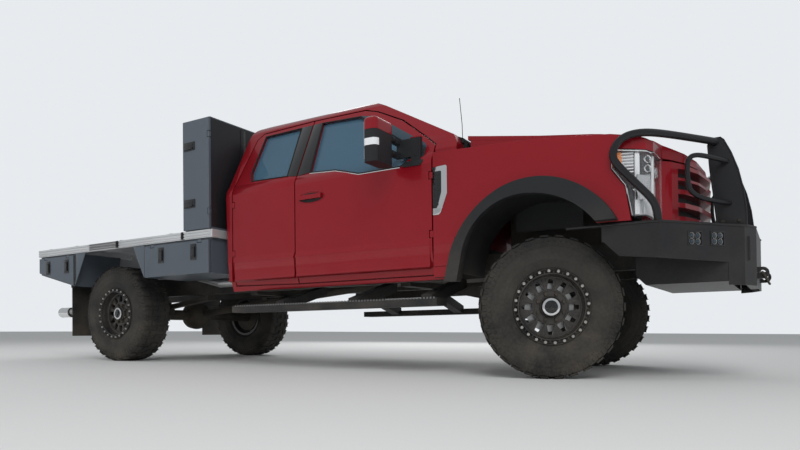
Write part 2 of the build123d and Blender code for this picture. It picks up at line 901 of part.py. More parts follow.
# Grille guard: two upright plates, cross tubes, side loops and a hoop over each lamp.
guard_half = 440
guard_plate = 10
guard_tube = 23
loop_tube = 15
with BuildPart() as grille_guard:
    for side in (1, -1):
        with BuildSketch(Plane.XZ.offset(-side * guard_half)):
            with BuildLine():
                Polyline(
                    (front_x + 980, bumper_top),
                    (front_x + 1140, bumper_top),
                    (front_x + 1138, 980),
                    (front_x + 1124, 1100),
                    (front_x + 1096, 1230),
                    (front_x + 1058, 1340),
                    (front_x + 1018, 1425),
                    (front_x + 1000, 1442),
                    (front_x + 940, 1442),
                    (front_x + 930, 1400),
                    (front_x + 942, 1240),
                    (front_x + 958, 1100),
                    close=True,
                )
            make_face()
        extrude(amount=guard_plate / 2, both=True)
        with BuildLine(Plane.XY) as hoop_path:
            Polyline(
                (front_x + 975, side * guard_half, 1420),
                (front_x + 890, side * 560, 1422),
                (front_x + 700, side * 872, 1412),
                (front_x + 610, side * 968, 1404),
                (front_x + 530, side * 998, 1386),
                (front_x + 480, side * 1004, 1340),
                (front_x + 460, side * 1006, 1285),
                (front_x + 478, side * 1004, 1230),
                (front_x + 600, side * 985, 1090),
                (front_x + 670, side * 950, 1010),
                (front_x + 698, side * 930, 950),
                (front_x + 705, side * 925, bumper_top),
            )
        with BuildSketch(Plane(hoop_path.line @ 0, z_dir=hoop_path.line % 0)):
            Circle(guard_tube)
        sweep(path=hoop_path.line, transition=Transition.RIGHT)
        with BuildLine(Plane.XY) as loop_path:
            Polyline(
                (front_x + 1040, side * guard_half, 1285),
                (front_x + 920, side * 640, 1300),
                (front_x + 856, side * 700, 1290),
                (front_x + 838, side * 710, 1240),
                (front_x + 842, side * 710, 1110),
                (front_x + 862, side * 700, 1060),
                (front_x + 930, side * 640, 1020),
                (front_x + 1050, side * guard_half, 1020),
            )
        with BuildSketch(Plane(loop_path.line @ 0, z_dir=loop_path.line % 0)):
            Circle(loop_tube)
        sweep(path=loop_path.line, transition=Transition.RIGHT)
    with Locations((front_x + 975, 0, 1405), (front_x + 1020, 0, 1180), (front_x + 1050, 0, 990)):
        Cylinder(guard_tube, 2 * guard_half, rotation=(90, 0, 0))
    add(bumper.part, mode=Mode.SUBTRACT)
grille_guard.part.label = "grille_guard"
body_pieces.append(grille_guard.part)

# Arch flares, black, over the front wheels.
with BuildPart() as flares:
    with BuildSketch(Plane.XZ):
        with BuildLine():
            Line((front_x - 560, 575), (front_x - 656, 575))
            Line((front_x - 656, 575), (front_x - 610, 770))
            ThreePointArc(
                (front_x - 610, 770), (front_x - 454, 1021), (front_x - 239, 1168)
            )
            ThreePointArc(
                (front_x - 239, 1168), (front_x + 14, 1206), (front_x + 250, 1135)
            )
            ThreePointArc(
                (front_x + 250, 1135), (front_x + 390, 1030), (front_x + 489, 890)
            )
            Line((front_x + 489, 890), (front_x + 364, 890))
            ThreePointArc(
                (front_x + 364, 890), (front_x + 218, 1022), (front_x - 41, 1106)
            )
            ThreePointArc(
                (front_x - 41, 1106), (front_x - 382, 1000), (front_x - 518, 780)
            )
            Line((front_x - 518, 780), (front_x - 560, 575))
        make_face()
    extrude(amount=flare_outer, both=True)
    with Locations((front_x - 100, 0, 900)):
        Box(1400, 2 * flare_inner, 900, mode=Mode.SUBTRACT)
    add(fenders.part, mode=Mode.SUBTRACT)
    add(bumper.part, mode=Mode.SUBTRACT)
flares.part.label = "flares"
body_pieces.append(flares.part)

# Inner arches close the engine bay over the front wheels.
with BuildPart() as wheel_liners:
    with BuildSketch(Plane.XZ):
        with Locations((arch_x, arch_z)):
            Circle(arch_radius + 8)
            Circle(arch_radius - 2, mode=Mode.SUBTRACT)
        with Locations((arch_x, arch_z - 300)):
            Rectangle(1300, 600, mode=Mode.SUBTRACT)
        with Locations((arch_x + 400, arch_z)):
            Rectangle(500, 2 * (bumper_top + 18 - arch_z), mode=Mode.SUBTRACT)
    extrude(amount=958, both=True)
    with Locations((arch_x, 0, 900)):
        Box(1400, 2 * 560, 1200, mode=Mode.SUBTRACT)
    for side in (1, -1):
        with Locations((arch_x, side * 566, arch_z + arch_radius / 2 + 220)):
            Box(480, 12, 330)
    add(fenders.part, mode=Mode.SUBTRACT)
    add(cab_body.part, mode=Mode.SUBTRACT)
wheel_liners.part.label = "wheel_liners"
body_pieces.append(wheel_liners.part)

# Ladder frame with cab pads and crossmembers.
cross_xs = (front_x + 760, front_x - 1330, front_x - 3000, deck_rear_x + 160)
with BuildPart() as frame:
    for side in (1, -1):
        with Locations(((front_x + 1002 + deck_rear_x + 120) / 2, side * rail_centre, rail_bottom + rail_height / 2)):
            Box(front_x + 1002 - deck_rear_x - 120, rail_width, rail_height)
        for pad_x in (front_x - 820, front_x - 2600):
            with Locations((pad_x, side * rail_centre, (rail_top + underfloor_z) / 2)):
                Box(120, rail_width, underfloor_z - rail_top)
        with Locations((front_x + 667, side * (rail_centre + 60), rail_top + 120)):
            Box(60, 60, 240)
        with Locations((front_x + 667, side * rail_centre, rail_top + 120)):
            Box(60, rail_width, 240)
    for cross_x in cross_xs:
        with Locations((cross_x, 0, rail_bottom - 5)):
            Box(90, 2 * rail_outer, 50)
    with Locations((front_x + 667, 0, rail_top + 80)):
        Box(60, 2 * rail_outer + 60, 60)
frame.part.label = "frame"
body_pieces.append(frame.part)

# Engine and gearbox, plain blocks on mounts.
with BuildPart() as powertrain:
    with Locations((front_x - 40, 0, 990)):
        Box(860, 560, 540)
    with Locations((front_x - 40, 0, 755)):
        Box(300, 2 * (rail_outer - rail_width), 70)
    with Locations((front_x - 1120, 0, 735)):
        Box(1350, 300, 150)
    with Locations((front_x + 590, 0, rail_top + 200)):
        Box(50, 900, 400)
    with Locations((front_x + 480, 0, 1000)):
        Box(240, 120, 120)
    with Locations((front_x + 626, 0, 900)):
        Box(22, 60, 60)
powertrain.part.label = "powertrain"
body_pieces.append(powertrain.part)

# Exhaust under the right side, leaving behind the rear wheel.
pipe_y = -560
with BuildPart() as exhaust:
    with BuildLine(Plane.XY) as pipe_path:
        Polyline(
            (front_x - 700, pipe_y, 725),
            (front_x - 3300, pipe_y, 725),
            (front_x - 3900, pipe_y + 30, 870),
            (front_x - 4600, pipe_y + 30, 870),
            (front_x - 5000, pipe_y, 610),
            (front_x - 5240, -850, 500),
            (front_x - 5345, -850, 490),
        )
    with BuildSketch(Plane(pipe_path.line @ 0, z_dir=pipe_path.line % 0)):
        Circle(40)
    sweep(path=pipe_path.line, transition=Transition.RIGHT)
    with Locations((front_x - 1900, pipe_y, 725)):
        Cylinder(82, 900, rotation=(0, 90, 0))
    with Locations((front_x - 5300, -850, 492)):
        Cylinder(50, 170, rotation=(0, 90, 0))
    with Locations((front_x - 5310, -850, 492)):
        Cylinder(44, 160, rotation=(0, 90, 0), mode=Mode.SUBTRACT)
    for hanger_x in (front_x - 1300, front_x - 2700):
        with Locations((hanger_x, (pipe_y - rail_outer) / 2, 725)):
            Box(30, abs(pipe_y) - rail_outer, 16)
    with Locations((front_x - 5000, (pipe_y - rail_centre) / 2, 630)):
        Box(30, abs(pipe_y) - rail_centre + 20, 20)
exhaust.part.label = "exhaust"
body_pieces.append(exhaust.part)

# Flat deck: floor plate on long beams and bearers, with side rails.
deck_length = deck_front_x - deck_rear_x
deck_mid_x = (deck_front_x + deck_rear_x) / 2
deck_floor_z = deck_top - deck_thickness
tread_sheet = 4
with BuildPart() as deck:
    with Locations((deck_mid_x, 0, deck_top - deck_thickness / 2)):
        Box(deck_length, 2 * deck_half_width, deck_thickness)
    with Locations(((cabinet_rear_x + deck_rear_x) / 2, 0, deck_top + tread_sheet / 2)):
        Box(cabinet_rear_x - deck_rear_x - 60, 2 * deck_half_width - 60, tread_sheet)
    with Locations((deck_mid_x, 0, deck_top - deck_thickness / 2 - 18)):
        Box(deck_length - 60, 2 * deck_half_width - 60, deck_thickness - 16, mode=Mode.SUBTRACT)
    for side in (1, -1):
        with Locations((deck_mid_x, side * rail_centre, (rail_top + deck_top - 20) / 2)):
            Box(deck_length - 60, rail_width, deck_top - 20 - rail_top)
    for bearer in range(6):
        with Locations((deck_rear_x + 90 + bearer * (deck_length - 180) / 5, 0, deck_top - 48)):
            Box(60, 2 * deck_half_width - 70, 44)
deck.part.label = "deck"
body_pieces.append(deck.part)

# Deck cabinet behind the cab, hollow, with a shelf and a door at each end.
cabinet_wall = 12
door_face = cabinet_half_width - box_door_thickness
body_half = door_face - 6
cabinet_mid_x = (cabinet_front_x + cabinet_rear_x) / 2
cabinet_depth = cabinet_front_x - cabinet_rear_x
cabinet_height = cabinet_top - deck_top
cabinet_hinge_x = cabinet_front_x - hinge_inset
cabinet_hinge_y = cabinet_half_width - hinge_inset
with BuildPart() as cabinet:
    with Locations((cabinet_mid_x, 0, deck_top + cabinet_height / 2)):
        Box(cabinet_depth, 2 * body_half, cabinet_height)
        Box(
            cabinet_depth - 2 * cabinet_wall,
            2 * body_half + 20,
            cabinet_height - 2 * cabinet_wall,
            mode=Mode.SUBTRACT,
        )
    with Locations((cabinet_mid_x, 0, deck_top + cabinet_height / 2)):
        Box(cabinet_depth - 4, 2 * body_half - 110, cabinet_wall)
        Box(cabinet_depth - 4, cabinet_wall, cabinet_height - 4)
    for side in (1, -1):
        for hinge_z in (deck_top + 150, cabinet_top - 150):
            with Locations((cabinet_hinge_x - 1, side * (cabinet_hinge_y - 16), hinge_z)):
                Box(18, 44, hinge_block)
            with Locations((cabinet_hinge_x, side * cabinet_hinge_y, hinge_z)):
                Cylinder(pin_radius, hinge_block + 36)
cabinet.part.label = "cabinet"
body_pieces.append(cabinet.part)

with BuildPart() as cabinet_door_right:
    with Locations((cabinet_mid_x, -cabinet_half_width + box_door_thickness / 2, deck_top + cabinet_height / 2)):
        Box(cabinet_depth, box_door_thickness, cabinet_height - 12)
    with Locations((cabinet_mid_x, -cabinet_half_width + 30, deck_top + cabinet_height / 2)):
        Box(cabinet_depth - 60, 60, cabinet_height - 60)
        Box(cabinet_depth - 76, 120, cabinet_height - 76, mode=Mode.SUBTRACT)
    with Locations((cabinet_mid_x, -cabinet_half_width + box_door_thickness / 2, deck_top + cabinet_height / 2)):
        Box(cabinet_depth - 40, box_door_thickness, cabinet_height - 40)
    for hinge_z in (deck_top + 150, cabinet_top - 150):
        with Locations((cabinet_hinge_x + 1, -cabinet_hinge_y + 10, hinge_z)):
            Box(30, 60, hinge_block + 12, mode=Mode.SUBTRACT)
        with Locations((cabinet_hinge_x, -cabinet_hinge_y, hinge_z)):
            Cylinder(socket_radius, hinge_block + 42, mode=Mode.SUBTRACT)
cabinet_door_right.part.label = "cabinet_door_right"
body_pieces.append(cabinet_door_right.part)

with BuildPart() as cabinet_door_left:
    mirror(cabinet_door_right.part, about=Plane.XZ)
cabinet_door_left.part.label = "cabinet_door_left"
body_pieces.append(cabinet_door_left.part)

# Tool boxes under the deck; their doors hang from pins along the top edge.
box_wall = 10
box_face = 1111 - box_door_thickness - 6
box_top = deck_top - deck_thickness
box_inner_y = 600
box_outlines = [
    [
        (front_x - 2861, box_bottom),
        (front_x - 2861, box_top),
        (front_x - 3866, box_top),
        (front_x - 3709, box_bottom),
    ],
    [
        (front_x - 4745, box_top),
        (deck_rear_x + 8, box_top),
        (deck_rear_x + 8, rear_box_high),
        (front_x - 4800, rear_box_low),
    ],
]
with BuildPart() as underbody_boxes:
    for outline in box_outlines:
        with BuildSketch(Plane.XZ):
            with BuildLine():
                Polyline(*outline, close=True)
            make_face()
        extrude(amount=box_face, both=True)
    for outline in box_outlines:
        with BuildSketch(Plane.XZ):
            with BuildLine():
                Polyline(*outline, close=True)
            make_face()
            offset(amount=-box_wall, kind=Kind.INTERSECTION)
        extrude(amount=box_face + 50, both=True, mode=Mode.SUBTRACT)
    with Locations((deck_mid_x, 0, 900)):
        Box(deck_length + 100, 2 * box_inner_y, 600, mode=Mode.SUBTRACT)
    for outline in box_outlines:
        for side in (1, -1):
            with BuildSketch(Plane.XZ.offset(-side * (box_inner_y + box_wall / 2))):
                with BuildLine():
                    Polyline(*outline, close=True)
                make_face()
            extrude(amount=box_wall / 2, both=True)
underbody_boxes.part.label = "underbody_boxes"

box_door_top = 1046
box_hinge_z = box_door_top - hinge_inset
box_hinge_y = 1111 - hinge_inset
front_box_hinges = (front_x - 2980, front_x - 3590)
rear_box_hinges = (front_x - 4880, front_x - 5260)
with BuildPart() as box_bodies:
    add(underbody_boxes.part)
    for side in (1, -1):
        for hinge_x in front_box_hinges + rear_box_hinges:
            with Locations((hinge_x, side * (box_hinge_y - 14), box_hinge_z + 3)):
                Box(hinge_block, 40, 24)
            with Locations((hinge_x, side * (box_hinge_y - 24), box_hinge_z + 9)):
                Box(hinge_block, 20, 22)
            with Locations((hinge_x, side * box_hinge_y, box_hinge_z)):
                Cylinder(pin_radius, hinge_block + 36, rotation=(0, 90, 0))
box_bodies.part.label = "underbody_boxes"
body_pieces.append(box_bodies.part)

box_door_outlines = [
    [
        (front_x - 2867, box_bottom),
        (front_x - 2867, box_door_top),
        (front_x - 3696, box_door_top),
        (front_x - 3696, box_bottom),
    ],
    [
        (front_x - 4783, box_door_top),
        (front_x - 5372, box_door_top),
        (front_x - 5372, 897),
        (front_x - 4783, rear_box_low + 8),
    ],
]
box_hinge_sets = (front_box_hinges, rear_box_hinges)
box_door_names = ("box_door_front_right", "box_door_rear_right")
for outline, hinge_xs, door_name in zip(box_door_outlines, box_hinge_sets, box_door_names):
    with BuildPart() as box_door:
        with BuildSketch(Plane.XZ.offset(1111 - box_door_thickness)):
            with BuildLine():
                Polyline(*outline, close=True)
            make_face()
        extrude(amount=box_door_thickness)
        for hinge_x in hinge_xs:
            with Locations((hinge_x, -box_hinge_y + 10, box_hinge_z + 4)):
                Box(hinge_block + 12, 60, 36, mode=Mode.SUBTRACT)
            with Locations((hinge_x, -box_hinge_y, box_hinge_z)):
                Cylinder(socket_radius, hinge_block + 42, rotation=(0, 90, 0), mode=Mode.SUBTRACT)
    box_door.part.label = door_name
    body_pieces.append(box_door.part)
    with BuildPart() as box_door_left:
        mirror(box_door.part, about=Plane.XZ)
    box_door_left.part.label = door_name.replace("right", "left")
    body_pieces.append(box_door_left.part)

# Side steps on arms below the cab.
step_front_x = front_x - 712
step_rear_x = front_x - 2650
step_outer = 1060
step_inner = 905
with BuildPart() as side_steps:
    for side in (1, -1):
        with Locations((
            (step_front_x + step_rear_x) / 2,
            side * (step_outer + step_inner) / 2,
            step_top - step_height / 2,
        )):
            Box(step_front_x - step_rear_x, step_outer - step_inner, step_height)
        for arm_x in (front_x - 860, front_x - 1500, front_x - 2230):
            with BuildSketch(Plane.YZ.offset(arm_x - 45)):
                with BuildLine():
                    Polyline(
                        (side * (rail_outer - rail_width), rail_bottom),
                        (side * rail_outer, rail_bottom),
                        (side * (step_inner + 30), step_top + 30),
                        (side * (step_inner + 30), step_top - 40),
                        (side * (step_inner - 20), step_top - 40),
                        (side * (rail_outer - rail_width), rail_bottom - 60),
                        close=True,
                    )
                make_face()
            extrude(amount=90)
side_steps.part.label = "side_steps"
body_pieces.append(side_steps.part)

# Mud flaps hang from the boxes behind the rear wheels.
flap_x = front_x - 4960
with BuildPart() as mud_flaps:
    for side in (1, -1):
        with Locations((flap_x, side * 860, 500)):
            Box(12, 300, 520)
        with Locations((flap_x, side * 860, 765)):
            Box(40, 300, 60)
    add(box_bodies.part, mode=Mode.SUBTRACT)
mud_flaps.part.label = "mud_flaps"
body_pieces.append(mud_flaps.part)

# Tail: cross panel, lamps and the receiver tube.
with BuildPart() as tail_panel:
    with Locations((deck_rear_x + 6, 0, box_top - 60)):
        Box(12, 2 * rail_outer + 280, 120)
    for side in (1, -1):
        with Locations((deck_rear_x + 66, side * rail_centre, box_top - 121)):
            Box(108, rail_width, 242)
    with Locations((deck_rear_x + 108, 0, rail_bottom - 35)):
        Box(80, 2 * rail_outer, 70)
tail_panel.part.label = "tail_panel"

with BuildPart() as tail_lamps:
    for side in (1, -1):
        with Locations((deck_rear_x - 12, side * 490, box_top - 60), (deck_rear_x - 12, side * 380, box_top - 60)):
            Box(24, 90, 70)
tail_lamps.part.label = "tail_lamps"
body_pieces.append(tail_lamps.part)

receiver_z = rail_bottom - 110
receiver_pin_radius = 8
with BuildPart() as hitch_receiver:
    with Locations((deck_rear_x + 110, 0, receiver_z)):
        Box(260, 76, 76)
    with Locations((deck_rear_x + 90, 0, receiver_z)):
        Box(280, 51, 51, mode=Mode.SUBTRACT)
    with Locations((deck_rear_x + 60, 0, receiver_z)):
        Cylinder(receiver_pin_radius, 100, rotation=(90, 0, 0), mode=Mode.SUBTRACT)
hitch_receiver.part.label = "hitch_receiver"
body_pieces.append(hitch_receiver.part)

with BuildPart() as tail_body:
    add(tail_panel.part)
    with Locations((deck_rear_x + 108, 0, (rail_bottom - 70 + receiver_z + 38) / 2)):
        Box(80, 76, rail_bottom - 70 - receiver_z - 38)
    add(frame.part, mode=Mode.SUBTRACT)
    add(deck.part, mode=Mode.SUBTRACT)
tail_body.part.label = "tail_panel"
body_pieces.append(tail_body.part)

# Tow eyes on the bumper front.
tow_eye_radius = 18
tow_eye_x = front_x + 1196
tow_eye_z = 590
tow_eye_y = 220
with BuildPart() as tow_points:
    for side in (1, -1):
        with BuildSketch(Plane.XZ.offset(-side * tow_eye_y)):
            with Locations((tow_eye_x + 20, tow_eye_z)):
                Circle(38)
            with Locations((tow_eye_x, tow_eye_z)):
                Rectangle(40, 76)
            with Locations((tow_eye_x + 20, tow_eye_z)):
                Circle(tow_eye_radius, mode=Mode.SUBTRACT)
        extrude(amount=11, both=True)
    add(bumper.part, mode=Mode.SUBTRACT)
tow_points.part.label = "tow_points"
body_pieces.append(tow_points.part)

# Seats, dashboard and steering wheel.
floor_z = 880
with BuildPart() as seats:
    for seat_x, seat_y, seat_width in (
        (front_x - 1780, 430, 520),
        (front_x - 1780, -430, 520),
        (front_x - 2480, 0, 1500),
    ):
        with Locations((seat_x + 90, seat_y, floor_z + 60)):
            Box(360, seat_width - 80, 120)
        with Locations((seat_x + 60, seat_y, floor_z + 185)):
            Box(500, seat_width, 130)
        with BuildSketch(Plane.XZ.offset(-seat_y)):
            with BuildLine():
                Polyline(
                    (seat_x - 190, floor_z + 250),
                    (seat_x - 40, floor_z + 250),
                    (seat_x - 90, floor_z + 900),
                    (seat_x - 185, floor_z + 900),
                    close=True,
                )
            make_face()
        extrude(amount=seat_width / 2, both=True)
seats.part.label = "seats"
body_pieces.append(seats.part)

wheel_hub_x = front_x - 1265
with BuildPart() as dashboard:
    with BuildSketch(Plane.XZ):
        with BuildLine():
            Polyline(
                (firewall_x - 40, 1060),
                (firewall_x - 40, 1500),
                (front_x - 900, 1500),
                (front_x - 1060, 1420),
                (front_x - 1080, 1230),
                (front_x - 900, 1060),
                close=True,
            )
        make_face()
    extrude(amount=post_half - 0.2, both=True)
    with Locations((front_x - 1350, 0, floor_z + 150)):
        Box(800, 240, 300)
dashboard.part.label = "dashboard"
body_pieces.append(dashboard.part)

with BuildPart() as steering_wheel:
    with Locations(Location((wheel_hub_x, 430, 1380), (0, -65, 0))):
        Torus(185, 14)
        Cylinder(45, 40)
        Box(360, 30, 14)
        with Locations((0, 0, -110)):
            Cylinder(22, 220)
    add(dashboard.part, mode=Mode.SUBTRACT)
steering_wheel.part.label = "steering_wheel"
body_pieces.append(steering_wheel.part)

# Ground-frame pieces: axles, hubs and wheels stand level, the body is nose up on them.
body_place = Location((rear_x, 0, axle_z + body_lift), (0, -nose_up_deg, 0)) * Location((-rear_x, 0, -axle_z))
placed = {}
for piece in body_pieces:
    moved = piece.moved(body_place)
    moved.label = piece.label
    placed[piece.label] = moved
    export_step(moved, "parts/" + piece.label + ".step")

# Front axle with C-shaped yokes and kingpins.
yoke_half = 95
with BuildPart() as front_axle:
    with Locations((front_axle_x, 0, axle_z)):
        Cylinder(axle_radius, 2 * kingpin_half - 130, rotation=(90, 0, 0))
    with Locations((front_axle_x, 180, axle_z)):
        Sphere(140)
    for side in (1, -1):
        with Locations((front_axle_x, side * (kingpin_half - 62), axle_z)):
            Box(70, 22, 2 * yoke_half + 40)
        for level in (1, -1):
            with Locations((front_axle_x, side * (kingpin_half - 24), axle_z + level * (yoke_half + 10))):
                Box(70, 98, 20)
        with Locations((front_axle_x, side * kingpin_half, axle_z)):
            Cylinder(12, 2 * yoke_half + 20)
front_axle.part.label = "front_axle"
export_step(front_axle.part, "parts/front_axle.step")

with BuildPart() as rear_axle:
    with Locations((rear_x, 0, axle_z)):
        Cylinder(axle_radius + 6, 2 * track_half - 100, rotation=(90, 0, 0))
        Sphere(150)
        Cylinder(30, 2 * track_half + 68, rotation=(90, 0, 0))
    for side in (1, -1):
        with Locations((rear_x, side * (track_half - 75), axle_z)):
            Cylinder(160, 40, rotation=(90, 0, 0))
rear_axle.part.label = "rear_axle"
export_step(rear_axle.part, "parts/rear_axle.step")

# Springs, arms and dampers between the axles and the frame.
with BuildPart() as suspension:
    for side in (1, -1):
        with Locations((front_axle_x, side * (rail_centre - 5), 640)):
            Cylinder(48, 300)
        with BuildSketch(Plane.XZ.offset(-side * 320)):
            with BuildLine():
                Polyline(
                    (front_axle_x + 30, 490),
                    (front_axle_x - 60, 530),
                    (front_axle_x - 900, 700),
                    (front_axle_x - 900, 610),
                    (front_axle_x - 60, 440),
                    close=True,
                )
            make_face()
        extrude(amount=25, both=True)
        with Locations((front_axle_x - 870, side * 320, 650)):
            Box(70, 60, 110)
        with BuildSketch(Plane.XZ.offset(-side * rail_centre)):
            with BuildLine():
                Polyline(
                    (rear_x + 640, 690),
                    (rear_x + 640, 600),
                    (rear_x + 60, 520),
                    (rear_x - 60, 520),
                    (rear_x - 600, 600),
                    (rear_x - 600, 690),
                    (rear_x - 560, 690),
                    (rear_x - 560, 630),
                    (rear_x - 60, 565),
                    (rear_x + 60, 565),
                    (rear_x + 600, 630),
                    (rear_x + 600, 690),
                    close=True,
                )
            make_face()
        extrude(amount=35, both=True)
        with Locations((rear_x, side * rail_centre, 500)):
            Box(140, 70, 60)
    add(placed["frame"], mode=Mode.SUBTRACT)
    add(front_axle.part, mode=Mode.SUBTRACT)
    add(rear_axle.part, mode=Mode.SUBTRACT)
suspension_solids = [solid for solid in suspension.part.solids() if solid.volume > 200000]
suspension_piece = Compound(children=suspension_solids)
suspension_piece.label = "suspension"
export_step(suspension_piece, "parts/suspension.step")

# Drive shafts from the gearbox to both axles.
with BuildPart() as driveshafts:
    for shaft_points in (
        ((front_x - 1700, 0, 740), (rear_x + 100, 0, axle_z + 20)),
        ((front_x - 900, 180, 690), (front_axle_x - 90, 180, axle_z + 20)),
    ):
        with BuildLine(Plane.XY) as shaft_path:
            Line(*shaft_points)
        with BuildSketch(Plane(shaft_path.line @ 0, z_dir=shaft_path.line % 0)):
            Circle(38)
        sweep(path=shaft_path.line)
    add(placed["powertrain"], mode=Mode.SUBTRACT)
    add(placed["frame"], mode=Mode.SUBTRACT)
    add(front_axle.part, mode=Mode.SUBTRACT)
    add(rear_axle.part, mode=Mode.SUBTRACT)
shaft_solids = [solid for solid in driveshafts.part.solids() if solid.volume > 200000]
driveshaft_piece = Compound(children=shaft_solids)
driveshaft_piece.label = "driveshafts"
export_step(driveshaft_piece, "parts/driveshafts.step")

# Knuckles turn on the kingpins; arms reach back to the tie rod.
arm_length = 200
arm_z = axle_z - 60
knuckle_height = 2 * yoke_half - 12
for side, name in ((1, "left"), (-1, "right")):
    with BuildPart() as knuckle:
        Cylinder(38, knuckle_height)
        with Locations((0, side * (scrub - 75) / 2 + side * 10, 0)):
            Box(60, scrub - 75, 90)
        with Locations((0, side * (scrub - 45), 0)):
            Cylinder(150, 24, rotation=(90, 0, 0))
        with Locations((0, side * (scrub / 2 + 17), 0)):
            Cylinder(30, scrub + 34, rotation=(90, 0, 0))
        with Locations((-arm_length / 2, 0, arm_z - axle_z)):
            Box(arm_length, 34, 20)
        with Locations((-arm_length, 0, arm_z - axle_z)):
            Cylinder(17, 20)
        with Locations((-arm_length, 0, arm_z - axle_z - 20)):
            Cylinder(8, 60)
        Cylinder(12 + pin_clearance, knuckle_height + 10, mode=Mode.SUBTRACT)
        with Locations((-arm_length, 0, arm_z - axle_z - 49)):
            Cylinder(14, 6)
    placed_knuckle = knuckle.part.moved(
        Location((front_axle_x, side * kingpin_half, axle_z), (0, 0, steer_rest))
    )
    placed_knuckle.label = "knuckle_" + name
    export_step(placed_knuckle, "parts/knuckle_" + name + ".step")

rod_z = arm_z - 28
rod_x = front_axle_x - arm_length * cos(steer)
rod_shift = -arm_length * sin(steer)
with BuildPart() as tie_rod:
    with Locations((rod_x, rod_shift, rod_z)):
        Cylinder(11, 2 * kingpin_half - 25, rotation=(90, 0, 0))
    for side in (1, -1):
        with Locations((rod_x, rod_shift + side * kingpin_half, rod_z)):
            Cylinder(20, 26)
            Cylinder(8 + pin_clearance, 40, mode=Mode.SUBTRACT)
tie_rod.part.label = "tie_rod"
export_step(tie_rod.part, "parts/tie_rod.step")

# Wheels: tyre with lugs, and a rim with twelve windows and a clamp ring.
carcass_radius = tyre_radius - lug_height
half_width = tyre_width / 2
with BuildPart() as tyre_base:
    with BuildSketch(Plane.XY):
        with BuildLine():
            Polyline(
                (rim_radius - 7, half_width - 47),
                (rim_radius + 20, half_width - 22),
                (rim_radius + 75, half_width - 2),
                (rim_radius + 125, half_width),
                (carcass_radius - 40, half_width - 8),
                (carcass_radius - 8, half_width - 24),
                (carcass_radius, half_width - 50),
                (carcass_radius, -half_width + 50),
                (carcass_radius - 8, -half_width + 24),
                (carcass_radius - 40, -half_width + 8),
                (rim_radius + 125, -half_width),
                (rim_radius + 75, -half_width + 2),
                (rim_radius + 20, -half_width + 22),
                (rim_radius - 7, -half_width + 47),
                (rim_radius + 10, -half_width + 60),
                (rim_radius + 120, -half_width + 16),
                (carcass_radius - 20, -half_width + 50),
                (carcass_radius - 20, half_width - 50),
                (rim_radius + 120, half_width - 16),
                (rim_radius + 10, half_width - 60),
                close=True,
            )
        make_face()
    revolve(axis=Axis.Y)
    lug_step = 360 / lug_count
    for row, lug_y, lug_width, lug_length in (
        (0, half_width - 48, 62, 52),
        (1, -half_width + 48, 62, 52),
        (2, 34, 50, 44),
        (3, -34, 50, 44),
    ):
        for lug in range(lug_count):
            angle = lug * lug_step + (row % 2) * lug_step / 2
            with Locations(
                Location((0, 0, 0), (0, angle, 0))
                * Location((tyre_radius - lug_height / 2 - 2, lug_y, 0))
            ):
                Box(lug_height + 3, lug_width, lug_length)
    with BuildSketch(Plane.XY):
        with BuildLine():
            Polyline(
                (tyre_radius, half_width - 40),
                (tyre_radius, half_width + 60),
                (tyre_radius - 60, half_width + 60),
                (tyre_radius - 60, half_width),
                (tyre_radius - 14, half_width - 12),
                close=True,
            )
        make_face()
        mirror(about=Plane.XZ)
    revolve(axis=Axis.Y, mode=Mode.SUBTRACT)

disc_y = 62
with BuildPart() as rim_base:
    with BuildSketch(Plane.XY):
        with BuildLine():
            Polyline(
                (rim_radius - 25, half_width - 30),
                (rim_radius + 12, half_width - 30),
                (rim_radius + 14, half_width - 22),
                (rim_radius + 10, half_width - 12),
                (rim_radius - 22, half_width - 12),
                (rim_radius - 33, disc_y + 4),
                (rim_radius - 33, -half_width + 34),
                (rim_radius - 7, -half_width + 34),
                (rim_radius - 7, half_width - 52),
                close=True,
            )
        make_face()
    revolve(axis=Axis.Y)
    with BuildSketch(Plane.XZ.offset(-disc_y)):
        Circle(rim_radius - 30)
        with PolarLocations(148, 12):
            Trapezoid(46, 62, 99, rotation=90, mode=Mode.SUBTRACT)
    extrude(amount=14, both=True)
    with Locations((0, (disc_y + 8) / 2, 0)):
        Cylinder(78, disc_y + 12, rotation=(90, 0, 0))
    with Locations((0, disc_y + 24, 0)):
        Cylinder(52, 40, rotation=(90, 0, 0))
    with Locations((0, 0, 0)):
        Cylinder(30 + pin_clearance, 80, rotation=(90, 0, 0), mode=Mode.SUBTRACT)
    add(tyre_base.part, mode=Mode.SUBTRACT)

wheel_rows = (
    ("front_left", 1, front_axle_x - scrub * sin(steer), kingpin_half + scrub * cos(steer), steer_rest),
    ("front_right", -1, front_axle_x + scrub * sin(steer), -kingpin_half - scrub * cos(steer), steer_rest),
    ("rear_left", 1, rear_x, track_half, 0),
    ("rear_right", -1, rear_x, -track_half, 0),
)
for name, side, wheel_x, wheel_y, turn in wheel_rows:
    outward = 0 if side == 1 else 180
    spot = Location((wheel_x, wheel_y, axle_z), (0, 0, turn + outward))
    for base, kind in ((tyre_base.part, "tyre_"), (rim_base.part, "rim_")):
        piece = base.moved(spot)
        piece.label = kind + name
        export_step(piece, "parts/" + kind + name + ".step")
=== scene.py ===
"""Visual model of a lifted extended-cab pickup with a flat deck."""
import json
import logging
import math
from dataclasses import dataclass
from enum import Enum
from typing import Sequence

import bmesh
import bpy
from mathutils import Euler, Matrix, Vector


